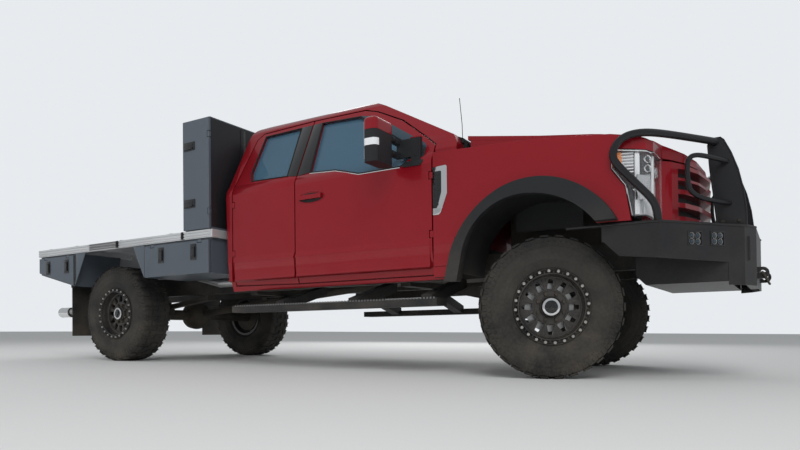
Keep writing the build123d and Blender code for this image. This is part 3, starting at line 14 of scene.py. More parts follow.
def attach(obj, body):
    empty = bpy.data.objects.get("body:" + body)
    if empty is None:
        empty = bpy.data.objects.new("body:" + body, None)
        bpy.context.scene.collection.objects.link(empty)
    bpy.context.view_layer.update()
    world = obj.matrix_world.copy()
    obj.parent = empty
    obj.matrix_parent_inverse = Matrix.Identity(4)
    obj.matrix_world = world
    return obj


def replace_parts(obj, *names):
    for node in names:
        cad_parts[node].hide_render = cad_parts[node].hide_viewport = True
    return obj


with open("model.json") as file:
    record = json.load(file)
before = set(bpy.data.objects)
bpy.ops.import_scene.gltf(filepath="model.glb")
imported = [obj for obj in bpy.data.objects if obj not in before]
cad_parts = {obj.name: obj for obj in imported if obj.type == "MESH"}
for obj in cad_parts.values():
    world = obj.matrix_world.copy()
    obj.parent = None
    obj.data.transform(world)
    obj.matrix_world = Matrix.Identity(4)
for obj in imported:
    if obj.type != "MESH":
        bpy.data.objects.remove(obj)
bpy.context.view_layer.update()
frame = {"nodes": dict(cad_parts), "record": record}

logging.basicConfig(level=logging.INFO, format="%(levelname)s %(message)s")
log = logging.getLogger("truck")

Flat = tuple[float, float]
Point = tuple[float, float, float]
Colour = tuple[float, float, float]

FRONT_AXLE_X = 2.015
REAR_AXLE_X = -2.180
AXLE_Z = 0.460
BODY_X = 2.085
NOSE_UP = math.radians(0.915)
BODY_LIFT = 0.008
STEER = math.radians(25.0)
KINGPIN_Y = 0.680
SCRUB = 0.190
TRACK_Y = 0.870


class Place(Enum):
    """The axes that a piece is drawn in."""

    BODY = "the nose-up body, in millimetres"
    GROUND = "the level ground, in millimetres"
    WORLD = "the world, in metres"


def body_matrix() -> Matrix:
    """Matrix from the level body drawing to the nose-up body."""
    pivot = Matrix.Translation((REAR_AXLE_X, 0.0, AXLE_Z + BODY_LIFT))
    return pivot @ Matrix.Rotation(-NOSE_UP, 4, "Y") @ Matrix.Translation((-REAR_AXLE_X, 0.0, -AXLE_Z))


def wheel_matrix(name: str) -> Matrix:
    """Matrix from a wheel drawn at the origin, outer face on +Y, to its place.

    Args:
        name: front_left, front_right, rear_left or rear_right.

    Returns:
        The wheel's place on the truck.
    """
    side = 1.0 if name.endswith("left") else -1.0
    turn = 0.0 if side > 0 else math.pi
    if name.startswith("rear"):
        return Matrix.Translation((REAR_AXLE_X, side * TRACK_Y, AXLE_Z)) @ Matrix.Rotation(turn, 4, "Z")
    centre = (
        FRONT_AXLE_X - side * SCRUB * math.sin(STEER),
        side * (KINGPIN_Y + SCRUB * math.cos(STEER)),
        AXLE_Z,
    )
    return Matrix.Translation(centre) @ Matrix.Rotation(STEER + turn, 4, "Z")


# ---------------------------------------------------------------- shader groups


@dataclass
class GroupMaker:
    """Builds one shader node group with named inputs and outputs."""

    name: str
    inputs: Sequence[tuple[str, str, object]]
    outputs: Sequence[tuple[str, str]]

    def start(self) -> tuple[bpy.types.NodeTree, bpy.types.Node, bpy.types.Node]:
        """Make the empty group.

        Returns:
            The node tree, its input node and its output node.
        """
        tree = bpy.data.node_groups.new(self.name, "ShaderNodeTree")
        for label, kind, value in self.inputs:
            socket = tree.interface.new_socket(name=label, in_out="INPUT", socket_type=kind)
            socket.default_value = value
        for label, kind in self.outputs:
            tree.interface.new_socket(name=label, in_out="OUTPUT", socket_type=kind)
        return tree, tree.nodes.new("NodeGroupInput"), tree.nodes.new("NodeGroupOutput")


def link(tree: bpy.types.NodeTree, out: bpy.types.NodeSocket, into: bpy.types.NodeSocket) -> None:
    """Join two sockets of one tree."""
    tree.links.new(out, into)


def maths(
    tree: bpy.types.NodeTree, operation: str, first: object, second: object = 0.0
) -> bpy.types.NodeSocket:
    """Add a Math node.

    Args:
        tree: The tree to add to.
        operation: Blender's name of the operation.
        first: A socket or a number.
        second: A socket or a number.

    Returns:
        The node's output socket.
    """
    node = tree.nodes.new("ShaderNodeMath")
    node.operation = operation
    for index, value in enumerate((first, second)):
        if isinstance(value, bpy.types.NodeSocket):
            link(tree, value, node.inputs[index])
        else:
            node.inputs[index].default_value = float(value)
    return node.outputs[0]


def noise(
    tree: bpy.types.NodeTree, vector: bpy.types.NodeSocket, scale: float, detail: float
) -> bpy.types.NodeSocket:
    """Add a Noise Texture.

    Args:
        tree: The tree to add to.
        vector: The coordinates it reads.
        scale: Its scale.
        detail: Its detail.

    Returns:
        The factor's socket.
    """
    node = tree.nodes.new("ShaderNodeTexNoise")
    node.inputs["Scale"].default_value = scale
    node.inputs["Detail"].default_value = detail
    link(tree, vector, node.inputs["Vector"])
    return node.outputs["Fac"]


def ramp(
    tree: bpy.types.NodeTree, value: bpy.types.NodeSocket, low: float, high: float
) -> bpy.types.NodeSocket:
    """Map a value between two limits onto 0 to 1, clamped.

    Args:
        tree: The tree to add to.
        value: The value's socket.
        low: The value that gives 0.
        high: The value that gives 1.

    Returns:
        The mapped value's socket.
    """
    node = tree.nodes.new("ShaderNodeMapRange")
    node.inputs["From Min"].default_value = low
    node.inputs["From Max"].default_value = high
    link(tree, value, node.inputs["Value"])
    return node.outputs["Result"]


def blend_colour(
    tree: bpy.types.NodeTree, factor: object, first: object, second: object
) -> bpy.types.NodeSocket:
    """Mix two colours.

    Args:
        tree: The tree to add to.
        factor: A socket or a number.
        first: A socket or an RGB colour.
        second: A socket or an RGB colour.

    Returns:
        The mixed colour's socket.
    """
    node = tree.nodes.new("ShaderNodeMix")
    node.data_type = "RGBA"
    for name, value in (("Factor", factor), ("A", first), ("B", second)):
        socket = next(s for s in node.inputs if s.name == name and s.enabled)
        if isinstance(value, bpy.types.NodeSocket):
            link(tree, value, socket)
        elif name == "Factor":
            socket.default_value = float(value)
        else:
            socket.default_value = (*value, 1.0)
    return next(s for s in node.outputs if s.enabled)


class Effects:
    """Node groups that several finishes share."""

    def __init__(self) -> None:
        """Build every group once."""
        self.dust = self._dust()
        self.grain = self._grain()

    @staticmethod
    def _dust() -> bpy.types.NodeTree:
        """Road dust that thickens towards the ground and gathers in patches.

        Returns:
            The node group.
        """
        maker = GroupMaker(
            "road_dust",
            (("Amount", "NodeSocketFloat", 0.4), ("Reach", "NodeSocketFloat", 1.0)),
            (("Mask", "NodeSocketFloat"),),
        )
        tree, given, out = maker.start()
        coords = tree.nodes.new("ShaderNodeTexCoord").outputs["Object"]
        split = tree.nodes.new("ShaderNodeSeparateXYZ")
        link(tree, coords, split.inputs[0])
        height = maths(tree, "DIVIDE", split.outputs["Z"], given.outputs["Reach"])
        low = maths(tree, "SUBTRACT", 1.0, height)
        low = maths(tree, "MAXIMUM", low, 0.0)
        patches = ramp(tree, noise(tree, coords, 5.0, 6.0), 0.35, 0.7)
        fine = ramp(tree, noise(tree, coords, 60.0, 4.0), 0.35, 0.75)
        both = maths(tree, "ADD", maths(tree, "MULTIPLY", patches, 0.7), maths(tree, "MULTIPLY", fine, 0.3))
        mask = maths(tree, "MULTIPLY", maths(tree, "MULTIPLY", both, low), given.outputs["Amount"])
        link(tree, mask, out.inputs["Mask"])
        return tree

    @staticmethod
    def _grain() -> bpy.types.NodeTree:
        """Fine surface grain as a height and a lightness value.

        Returns:
            The node group.
        """
        maker = GroupMaker(
            "fine_grain",
            (("Scale", "NodeSocketFloat", 400.0), ("Contrast", "NodeSocketFloat", 0.2)),
            (("Height", "NodeSocketFloat"), ("Shade", "NodeSocketFloat")),
        )
        tree, given, out = maker.start()
        coords = tree.nodes.new("ShaderNodeTexCoord").outputs["Object"]
        cells = tree.nodes.new("ShaderNodeTexNoise")
        cells.inputs["Detail"].default_value = 3.0
        link(tree, coords, cells.inputs["Vector"])
        link(tree, given.outputs["Scale"], cells.inputs["Scale"])
        link(tree, cells.outputs["Fac"], out.inputs["Height"])
        soft = noise(tree, coords, 3.0, 3.0)
        centred = maths(tree, "SUBTRACT", soft, 0.5)
        shade = maths(tree, "ADD", maths(tree, "MULTIPLY", centred, given.outputs["Contrast"]), 1.0)
        link(tree, shade, out.inputs["Shade"])
        return tree


@dataclass(frozen=True)
class Finish:
    """One surface finish, made with procedural nodes."""

    name: str
    colour: Colour
    roughness: float = 0.5
    metallic: float = 0.0
    coat: float = 0.0
    coat_roughness: float = 0.05
    grain_scale: float = 300.0
    grain_height: float = 0.0002
    grain_contrast: float = 0.25
    dust: float = 0.0
    dust_reach: float = 1.2
    dust_colour: Colour = (0.30, 0.25, 0.19)
    transmission: float = 0.0
    alpha: float = 1.0
    ior: float = 1.45
    slot: str = ""

    def build(self, effects: Effects) -> bpy.types.Material:
        """Make the material.

        Args:
            effects: The shared node groups.

        Returns:
            The finished material.
        """
        material = bpy.data.materials.new(self.name)
        material.use_nodes = True
        tree = material.node_tree
        shader = tree.nodes["Principled BSDF"]
        shader.inputs["Roughness"].default_value = self.roughness
        shader.inputs["Metallic"].default_value = self.metallic
        shader.inputs["Coat Weight"].default_value = self.coat
        shader.inputs["Coat Roughness"].default_value = self.coat_roughness
        shader.inputs["IOR"].default_value = self.ior
        shader.inputs["Transmission Weight"].default_value = self.transmission
        shader.inputs["Alpha"].default_value = self.alpha
        grain = tree.nodes.new("ShaderNodeGroup")
        grain.node_tree = effects.grain
        grain.inputs["Scale"].default_value = self.grain_scale
        grain.inputs["Contrast"].default_value = self.grain_contrast
        base = tree.nodes.new("ShaderNodeRGB")
        base.outputs[0].default_value = (*self.colour, 1.0)
        shaded = tree.nodes.new("ShaderNodeVectorMath")
        shaded.operation = "SCALE"
        link(tree, base.outputs[0], shaded.inputs[0])
        link(tree, grain.outputs["Shade"], shaded.inputs["Scale"])
        colour = shaded.outputs[0]
        if self.dust > 0.0:
            dust = tree.nodes.new("ShaderNodeGroup")
            dust.node_tree = effects.dust
            dust.inputs["Amount"].default_value = self.dust
            dust.inputs["Reach"].default_value = self.dust_reach
            colour = blend_colour(tree, dust.outputs["Mask"], colour, self.dust_colour)
            rough = maths(tree, "ADD", maths(tree, "MULTIPLY", dust.outputs["Mask"], 0.5), self.roughness)
            link(tree, rough, shader.inputs["Roughness"])
        link(tree, colour, shader.inputs["Base Color"])
        if self.grain_height > 0.0:
            bump = tree.nodes.new("ShaderNodeBump")
            bump.inputs["Distance"].default_value = self.grain_height
            link(tree, grain.outputs["Height"], bump.inputs["Height"])
            link(tree, bump.outputs["Normal"], shader.inputs["Normal"])
        return material


RED: Colour = (0.33, 0.0045, 0.013)
BLACK: Colour = (0.011, 0.011, 0.013)
DUSTY: Colour = (0.23, 0.20, 0.16)
FINISHES: tuple[Finish, ...] = (
    Finish("red_paint", RED, 0.36, 0.45, 0.55, 0.04, 1500.0, 0.00002, 0.10, 0.10, 1.2),
    Finish("black_paint", BLACK, 0.42, 0.0, 0.15, 0.25, 700.0, 0.0003, 0.3, 0.22, 1.1),
    Finish("dark_plastic", (0.018, 0.019, 0.021), 0.55, 0.0, 0.0, 0.1, 900.0, 0.0004, 0.3, 0.35, 1.2),
    Finish("frame_paint", (0.018, 0.018, 0.018), 0.55, 0.0, 0.0, 0.1, 400.0, 0.0004, 0.5, 0.5, 1.2),
    Finish("box_paint", (0.085, 0.104, 0.128), 0.36, 0.0, 0.35, 0.3, 900.0, 0.0002, 0.15, 0.15, 1.3),
    Finish("lamp_lens", (0.85, 0.87, 0.90), 0.06, 0.0, 0.5, 0.03, 200.0, 0.0, 0.02, alpha=0.10),
    Finish("tail_lens", (0.45, 0.01, 0.01), 0.15, 0.0, 1.0, 0.03, 200.0, 0.0, 0.02),
    Finish("tyre", (0.020, 0.020, 0.020), 0.80, 0.0, 0.0, 0.1, 250.0, 0.0005, 0.4, 0.42, 1.3, DUSTY),
    Finish("rim_paint", (0.016, 0.016, 0.017), 0.33, 0.0, 0.4, 0.2, 500.0, 0.0001, 0.2, 0.35, 1.1),
    Finish("steel", (0.55, 0.55, 0.55), 0.3, 1.0, 0.0, 0.1, 600.0, 0.0001, 0.3, 0.3, 1.0),
    Finish("iron", (0.05, 0.048, 0.045), 0.6, 0.6, 0.0, 0.1, 200.0, 0.001, 0.6, 0.7, 1.3),
    Finish("deck_aluminium", (0.74, 0.75, 0.76), 0.40, 0.55, 0.0, 0.1, 500.0, 0.0002, 0.25, 0.12, 1.5),
    Finish("seat_fabric", (0.045, 0.045, 0.05), 0.92, 0.0, 0.0, 0.1, 900.0, 0.0008, 0.3),
    Finish("rubber", (0.018, 0.018, 0.018), 0.7, 0.0, 0.0, 0.1, 300.0, 0.0004, 0.3, 0.4, 1.0),
    Finish("window_glass", (0.075, 0.155, 0.225), 0.02, 0.0, 0.0, 0.0, 10.0, 0.0, 0.0, alpha=0.78),
    Finish("chrome", (0.82, 0.83, 0.84), 0.10, 1.0, 0.0, 0.1, 500.0, 0.0, 0.05, slot="steel"),
    Finish(
        "bolt_silver", (0.62, 0.60, 0.57), 0.32, 1.0, 0.0, 0.1, 500.0, 0.0001, 0.2, 0.15, 1.0, slot="steel",
    ),
    Finish("lamp_white", (0.86, 0.88, 0.90), 0.25, 0.0, 0.6, 0.05, 300.0, 0.0, 0.05, slot="lamp_lens"),
    Finish("amber", (0.85, 0.24, 0.02), 0.2, 0.0, 0.8, 0.05, 300.0, 0.0, 0.05, slot="tail_lens"),
    Finish(
        "mirror_glass", (0.75, 0.78, 0.80), 0.03, 1.0, 0.0, 0.1, 300.0, 0.0, 0.02, slot="window_glass",
    ),
    Finish(
        "gloss_black", (0.010, 0.010, 0.011), 0.12, 0.0, 0.6, 0.05, 300.0, 0.0, 0.05, slot="black_paint",
    ),
    Finish(
        "dull_aluminium", (0.36, 0.36, 0.36), 0.55, 1.0, 0.0, 0.1, 500.0, 0.0003, 0.4, 0.2, 1.6, slot="steel",
    ),
    Finish(
        "quarter_glass", (0.030, 0.055, 0.078), 0.04, 0.0, 0.4, 0.02, 200.0, 0.0, 0.02, slot="window_glass",
    ),
    Finish(
        "plate_white", (0.70, 0.71, 0.72), 0.35, 0.0, 0.2, 0.1, 400.0, 0.0001, 0.1, 0.1, 1.2, slot="steel",
    ),
    Finish("belt_web", (0.06, 0.06, 0.065), 0.8, 0.0, 0.0, 0.1, 1400.0, 0.0006, 0.2, slot="seat_fabric"),
)


class Paintshop:
    """Builds each finish once and puts it on CAD nodes and new pieces."""

    def __init__(self) -> None:
        """Build the shared effects and the finishes."""
        effects = Effects()
        self.materials = {finish.name: finish.build(effects) for finish in FINISHES}
        self.slots = {finish.name: finish.slot or finish.name for finish in FINISHES}

    def dress(self, piece: bpy.types.Object, finish: str) -> None:
        """Put one finish on a whole piece."""
        piece.data.materials.clear()
        piece.data.materials.append(self.materials[finish])

    def shade_underside(self, node: str, below: float, inside: float) -> None:
        """Give the hidden faces of a painted CAD node the frame's dark finish, as painted shade under the
        body and inside the wheel wells.

        Args:
            node: The CAD node.
            below: Height in metres under which inner faces are dark.
            inside: Distance from the centre line within which they count as inner.
        """
        data = frame["nodes"][node].data
        data.materials.append(self.materials["frame_paint"])
        for face in data.polygons:
            outward = face.normal.y * math.copysign(1.0, face.center.y)
            inner = abs(face.center.y) < inside or outward < -0.3 or face.normal.z < -0.7
            # Low inner and downward faces take the dark frame finish as painted shade.
            face.material_index = 1 if inner and face.center.z < below else 0

    def dress_nodes(self, slots: dict[str, str]) -> None:
        """Put each CAD node's own finish on it.

        Args:
            slots: Node name to material slot, as the record gives them.
        """
        for node, slot_name in slots.items():
            self.dress(frame["nodes"][node], slot_name)
        log.info("dressed %d nodes", len(slots))


# ---------------------------------------------------------------- shapes, in millimetres


def at(x: float = 0.0, y: float = 0.0, z: float = 0.0, turn: Point = (0.0, 0.0, 0.0)) -> Matrix:
    """Give a place in millimetres with a turn about X, Y and Z in degrees."""
    rotation = Euler([math.radians(a) for a in turn], "XYZ").to_matrix().to_4x4()
    return Matrix.Translation((x, y, z)) @ rotation


def ring(count: int, radius: float, start: float = 0.0, lift: float = 0.0) -> list[Matrix]:
    """Give places round the Z axis, each turned to face outwards.

    Args:
        count: How many places.
        radius: Distance from the axis.
        start: Angle of the first one in degrees.
        lift: Height along the axis.

    Returns:
        One matrix for each place.
    """
    steps = (math.radians(start + 360.0 * index / count) for index in range(count))
    return [Matrix.Rotation(angle, 4, "Z") @ Matrix.Translation((radius, 0.0, lift)) for angle in steps]


def mirrored(side: float) -> Matrix:
    """Mirror across the centre line where side is -1, or leave as it is where side is 1."""
    return Matrix.Diagonal((1.0, side, 1.0, 1.0))


def both_sides(*places: Matrix) -> list[Matrix]:
    """Give each place and its mirror image across the centre line."""
    return [*places, *(mirrored(-1.0) @ place for place in places)]


def upright(distance: float, side: float = 1.0) -> Matrix:
    """Stand an (x, z) outline up at a distance from the centre line, facing outwards."""
    return Matrix(
        ((1, 0, 0, 0), (0, 0, side, side * distance), (0, 1, 0, 0), (0, 0, 0, 1))
    )


def oval(centre: Flat, half: Flat, count: int) -> list[Flat]:
    """Give the points of an oval.

    Args:
        centre: Its centre.
        half: Its half width and half height.
        count: How many points.

    Returns:
        The points in order.
    """
    angles = (math.tau * k / count for k in range(count))
    return [(centre[0] + half[0] * math.cos(t), centre[1] + half[1] * math.sin(t)) for t in angles]


def block(size: Point, edge: float = 0.0, segments: int = 2) -> bmesh.types.BMesh:
    """Make a block with softened edges, centred on the origin.

    Args:
        size: Length along each axis.
        edge: Radius of the edges.
        segments: Faces across each edge.

    Returns:
        The block.
    """
    bm = bmesh.new()
    bmesh.ops.create_cube(bm, size=1.0)
    bmesh.ops.scale(bm, vec=size, verts=bm.verts)
    if edge > 0.0:
        soften(bm, bm.edges[:], edge, segments)
    return bm


def soften(bm: bmesh.types.BMesh, edges: list[bmesh.types.BMEdge], size: float, segments: int = 2) -> None:
    """Round some edges of a form.

    Args:
        bm: The form.
        edges: Its edges that are rounded.
        size: Radius of the rounding.
        segments: Faces across each edge.
    """
    bmesh.ops.bevel(
        bm,
        geom=edges,
        offset=size,
        offset_type="OFFSET",
        segments=segments,
        profile=0.5,
        affect="EDGES",
        material=-1,
        clamp_overlap=True,
    )


def drum(
    radius: float, length: float, sides: int = 24, edge: float = 0.0, tip: float = -1.0
) -> bmesh.types.BMesh:
    """Make a round bar along Z, centred on the origin.

    Args:
        radius: Radius of the lower end.
        length: Length along Z.
        sides: Faces round it.
        edge: Radius of both rims.
        tip: Radius of the upper end, or the same when negative.

    Returns:
        The bar.
    """
    bm = bmesh.new()
    top = radius if tip < 0.0 else tip
    bmesh.ops.create_cone(bm, cap_ends=True, segments=sides, radius1=radius, radius2=top, depth=length)
    if edge > 0.0:
        rims = [e for e in bm.edges if abs(e.verts[0].co.z - e.verts[1].co.z) < 1e-4]
        soften(bm, rims, edge)
    return bm


def lathe(profile: Sequence[Flat], sides: int = 48, closed: bool = True) -> bmesh.types.BMesh:
    """Turn a profile about Z.

    Args:
        profile: Its (radius, height) points.
        sides: Faces round the axis.
        closed: Whether the last point joins the first.

    Returns:
        The turned form.
    """
    bm = bmesh.new()
    points = (*profile, profile[0]) if closed else profile
    verts = [bm.verts.new((radius, 0.0, height)) for radius, height in points]
    edges = [bm.edges.new(pair) for pair in zip(verts, verts[1:])]
    bmesh.ops.spin(
        bm,
        geom=verts + edges,
        cent=(0.0, 0.0, 0.0),
        axis=(0.0, 0.0, 1.0),
        angle=math.tau,
        steps=sides,
        use_merge=True,
    )
    bmesh.ops.remove_doubles(bm, verts=bm.verts, dist=0.001)
    return bm


def prism(outline: Sequence[Flat], depth: float, edge: float = 0.0) -> bmesh.types.BMesh:
    """Raise a flat outline along Z.

    Args:
        outline: Corners in X and Y.
        depth: Height of the wall.
        edge: Radius of the upper rim.

    Returns:
        The closed form, its lower face at zero.
    """
    bm = bmesh.new()
    face = bm.faces.new([bm.verts.new((x, y, 0.0)) for x, y in outline])
    raised = bmesh.ops.extrude_face_region(bm, geom=[face])["geom"]
    verts = [part for part in raised if isinstance(part, bmesh.types.BMVert)]
    bmesh.ops.translate(bm, vec=(0.0, 0.0, depth), verts=verts)
    bmesh.ops.recalc_face_normals(bm, faces=bm.faces)
    if edge > 0.0:
        rim = [e for e in bm.edges if all(abs(v.co.z - depth) < 1e-4 for v in e.verts)]
        soften(bm, rim, edge)
    return bm


def tube(
    path: Sequence[Point], radius: float, sides: int = 3, closed: bool = False, curved: bool = False
) -> bmesh.types.BMesh:
    """Make a round bar along a path.

    Args:
        path: Points of its centre line.
        radius: Radius of the bar.
        sides: Roundness of the bar.
        closed: Whether the ends meet.
        curved: Whether the line is smoothed between the points.

    Returns:
        The bar with closed ends.
    """
    curve = bpy.data.curves.new("path", "CURVE")
    curve.dimensions = "3D"
    curve.bevel_depth = radius
    curve.bevel_resolution = sides
    curve.use_fill_caps = not closed
    spline = curve.splines.new("NURBS" if curved else "POLY")
    spline.points.add(len(path) - 1)
    for point, place in zip(spline.points, path):
        point.co = (*place, 1.0)
    spline.use_cyclic_u = closed
    if curved:
        spline.order_u = 3
        spline.use_endpoint_u = not closed
        spline.resolution_u = 6
    holder = bpy.data.objects.new("path", curve)
    mesh = bpy.data.meshes.new_from_object(holder)
    bm = bmesh.new()
    bm.from_mesh(mesh)
    bmesh.ops.remove_doubles(bm, verts=bm.verts, dist=0.01)
    bpy.data.objects.remove(holder)
    bpy.data.curves.remove(curve)
    bpy.data.meshes.remove(mesh)
    return bm


class Form:
    """A piece in the making, drawn in millimetres."""

    def __init__(self) -> None:
        """Start with nothing."""
        self.bm = bmesh.new()

    def add(self, part: bmesh.types.BMesh, *places: Matrix) -> "Form":
        """Add a copy of a part at each place.

        Args:
            part: The part, which is used up.
            places: Where the copies go; none means as drawn.

        Returns:
            This form.
        """
        stamp = bpy.data.meshes.new("stamp")
        part.to_mesh(stamp)
        part.free()
        for place in places or (Matrix.Identity(4),):
            before = len(self.bm.verts)
            self.bm.from_mesh(stamp)
            bmesh.ops.transform(self.bm, matrix=place, verts=self.bm.verts[before:])
        bpy.data.meshes.remove(stamp)
        return self

    def make(
        self, name: str, finish: str, body: str = "chassis", place: Place | Matrix = Place.BODY
    ) -> bpy.types.Object:
        """Turn the form into a piece of the truck.

        Args:
            name: Name of the piece.
            finish: Its finish.
            body: The moving body that it rides on.
            place: The axes it is drawn in, or a matrix to the world in metres.

        Returns:
            The new object.
        """
        bm = self.bm
        matrix = PLACES[place] if isinstance(place, Place) else place
        bmesh.ops.transform(bm, matrix=matrix, verts=bm.verts)
        bmesh.ops.recalc_face_normals(bm, faces=bm.faces)
        for face in bm.faces:
            face.smooth = True
        for edge in bm.edges:
            edge.smooth = len(edge.link_faces) == 2 and edge.calc_face_angle(0.0) < SHARP
        mesh = bpy.data.meshes.new(name)
        bm.to_mesh(mesh)
        bm.free()
        piece = bpy.data.objects.new(name, mesh)
        bpy.context.scene.collection.objects.link(piece)
        SHOP.dress(piece, finish)
        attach(piece, body)
        log.info("made %s, %d faces", name, len(mesh.polygons))
        return piece


MILLIMETRE = Matrix.Scale(0.001, 4)
BODY_PLACE = body_matrix() @ Matrix.Translation((BODY_X, 0.0, 0.0)) @ MILLIMETRE
PLACES = {Place.BODY: BODY_PLACE, Place.GROUND: MILLIMETRE, Place.WORLD: Matrix.Identity(4)}
SHARP = math.radians(32.0)
SHOP = Paintshop()
WHEELS = ("front_left", "front_right", "rear_left", "rear_right")
SIDES = (("right", -1.0), ("left", 1.0))

SIDE_Y = 1000.0
SILL_Z = 857.0
SHOULDER_Z = 1400.0
BELT_Y = 965.0
BELT_Z = 1500.0
WINDOW_RUN = 230.0
WINDOW_RISE = 495.0
WINDOW_LEAN = math.atan2(WINDOW_RUN, WINDOW_RISE)


def side_y(height: float) -> float:
    """Give the cab side's distance from the centre line.

    Args:
        height: Height in millimetres.

    Returns:
        The distance in millimetres.
    """
    if height < SILL_Z:
        return SIDE_Y - 0.00090 * (SILL_Z - height) ** 2
    if height < SHOULDER_Z:
        return SIDE_Y
    if height < BELT_Z:
        return SIDE_Y - 0.0035 * (height - SHOULDER_Z) ** 2
    return BELT_Y - (height - BELT_Z) * WINDOW_RUN / WINDOW_RISE


def on_side(side: float, points: Sequence[Flat], proud: float = 0.0) -> list[Point]:
    """Lay (x, z) points on the cab's side.

    Args:
        side: 1 for the left side, -1 for the right.
        points: Length and height of each point.
        proud: How far they stand out from the skin.

    Returns:
        The points in three dimensions.
    """
    return [(x, side * (side_y(z) + proud), z) for x, z in points]


# ---------------------------------------------------------------- wheels


@dataclass
class WheelTrim:
    """Clamp bolts, hub, nuts, brake disc and sidewall ribs of one wheel."""

    name: str
    clamp_face: float = 147
    bolt_circle: float = 228.6
    bolt_count: int = 24
    disc_face: float = 74
    hub_radius: float = 58
    nut_circle: float = 84
    sidewall_ribs: int = 72
    clamp_lip: Sequence[Flat] = (
        (208, 144), (208, 148.5), (210, 150), (213, 150), (215, 148.5), (215, 144),
    )
    clamp_edge: Sequence[Flat] = ((238, 143), (239, 147.5), (241, 147.5), (243, 144), (243, 141))
    collar: Sequence[Flat] = (
        (60, 70), (60, 94), (66, 100), (70, 96), (72, 76), (102, 74),
        (106, 80), (112, 80), (116, 72), (116, 66),
    )
    spoke_rib: Sequence[Flat] = ((112, -7), (192, -15), (192, 15), (112, 7))
    barrel_lip: Sequence[Flat] = (
        (188, 66), (188, 78), (191, 82), (196, 84), (200, 96), (204, 96), (204, 66),
    )
    disc: Sequence[Flat] = ((158, -25), (158, -7), (84, -7), (80, 48), (68, 48), (68, -25))

    def build(self) -> None:
        """Make every piece of this wheel."""
        self.place = wheel_matrix(self.name) @ Matrix.Rotation(-math.pi / 2, 4, "X") @ MILLIMETRE
        self.body = "wheel_" + self.name
        self._clamp_bolts()
        self._hub()
        self._spokes()
        self._sidewalls()
        self._brake_disc()

    def _finish(self, form: Form, name: str, finish: str) -> None:
        """Name a form after the wheel and place it."""
        form.make(f"{name}_{self.name}", finish, self.body, self.place)

    def _clamp_bolts(self) -> None:
        """Silver hexagon bolts on washers round the clamp ring."""
        form = Form()
        places = ring(self.bolt_count, self.bolt_circle, 5, self.clamp_face)
        form.add(drum(9.6, 3, 16, 0.6), *(p @ at(z=1) for p in places))
        form.add(drum(7.4, 8, 6, 1.2), *(p @ at(z=5.5) for p in places))
        self._finish(form, "clamp_bolts", "bolt_silver")
        form = Form()
        form.add(lathe(self.clamp_lip, 96))
        form.add(lathe(self.clamp_edge, 96))
        form.add(block((16, 7, 3), 1.2), *ring(self.bolt_count, 219, 12.5, self.clamp_face + 0.5))
        self._finish(form, "clamp_ring", "rim_paint")

    def _hub(self) -> None:
        """Bright hub ring, dark dial, collar and eight wheel nuts."""
        top = self.disc_face + 44
        form = Form()
        ring_profile = (
            (40, 100), (40, top - 3), (42, top), (52, top), (56, top - 2),
            (self.hub_radius, top - 7), (self.hub_radius, 98),
        )
        form.add(lathe(ring_profile, 64))
        form.add(drum(2.6, 5, 6, 0.6), *ring(6, 48.5, 15, top + 0.5))
        self._finish(form, "hub_ring", "chrome")
        form = Form()
        form.add(drum(41, 14, 48, 3), at(z=top - 13))
        form.add(block((58, 13, 8), 2.5), at(z=top - 4, turn=(0, 0, 62)))
        form.add(block((16, 5, 3), 1), *ring(10, 31, 0, top - 6))
        self._finish(form, "hub_dial", "gloss_black")
        self._finish(Form().add(lathe(self.collar, 72)), "hub_collar", "rim_paint")
        form = Form()
        nuts = ring(8, self.nut_circle + 4, 22.5, self.disc_face)
        form.add(drum(12, 20, 6, 1.5, 10.5), *(p @ at(z=10) for p in nuts))
        form.add(drum(10, 6, 16, 2.5), *(p @ at(z=21) for p in nuts))
        self._finish(form, "wheel_nuts", "iron")

    def _spokes(self) -> None:
        """Raised ribs between the twelve windows and a stepped barrel lip."""
        form = Form()
        rib = prism(self.spoke_rib, 8, 3)
        turns = (Matrix.Rotation(math.radians(15 + 30 * k), 4, "Z") for k in range(12))
        form.add(rib, *(turn @ at(z=self.disc_face - 2) for turn in turns))
        form.add(lathe(self.barrel_lip, 96))
        self._finish(form, "spoke_ribs", "rim_paint")
        form = Form()
        form.add(tube(((186, 0, 96), (180, 0, 112), (176, 0, 126)), 4))
        form.add(drum(5, 12, 12, 1), at(176, 0, 128))
        self._finish(form, "air_valve", "rubber")

    def _sidewalls(self) -> None:
        """Radial shoulder ribs, rim guard rings and ties between the lugs."""
        form = Form()
        for flip in (Matrix.Identity(4), Matrix.Diagonal((1, 1, -1, 1))):
            places = [flip @ p @ at(turn=(0, 26.6, 0)) for p in ring(self.sidewall_ribs, 425, 3, 143.5)]
            form.add(block((27, 13, 11), 2, 1), *places)
            places = [flip @ p @ at(turn=(0, 8.3, 0)) for p in ring(self.sidewall_ribs, 394, 0, 153.6)]
            form.add(block((19, 8, 7), 1.6, 1), *places)
            for radius, height in ((276, 148), (338, 159), (381, 156.2)):
                low = height - 4
                hoop = ((radius, low), (radius + 2, height), (radius + 5, height), (radius + 7, low))
                form.add(lathe(hoop, 96), flip)
        ties = [p for z in (69, -69, 0) for p in ring(30, 450, 6 if z else 3, z)]
        form.add(block((9, 17, 22), 1.5, 1), *ties)
        self._finish(form, "sidewall_ribs", "tyre")

    def _brake_disc(self) -> None:
        """Steel brake disc and its hat, seen through the windows."""
        self._finish(Form().add(lathe(self.disc, 72)), "brake_disc", "steel")


# ---------------------------------------------------------------- cab sides


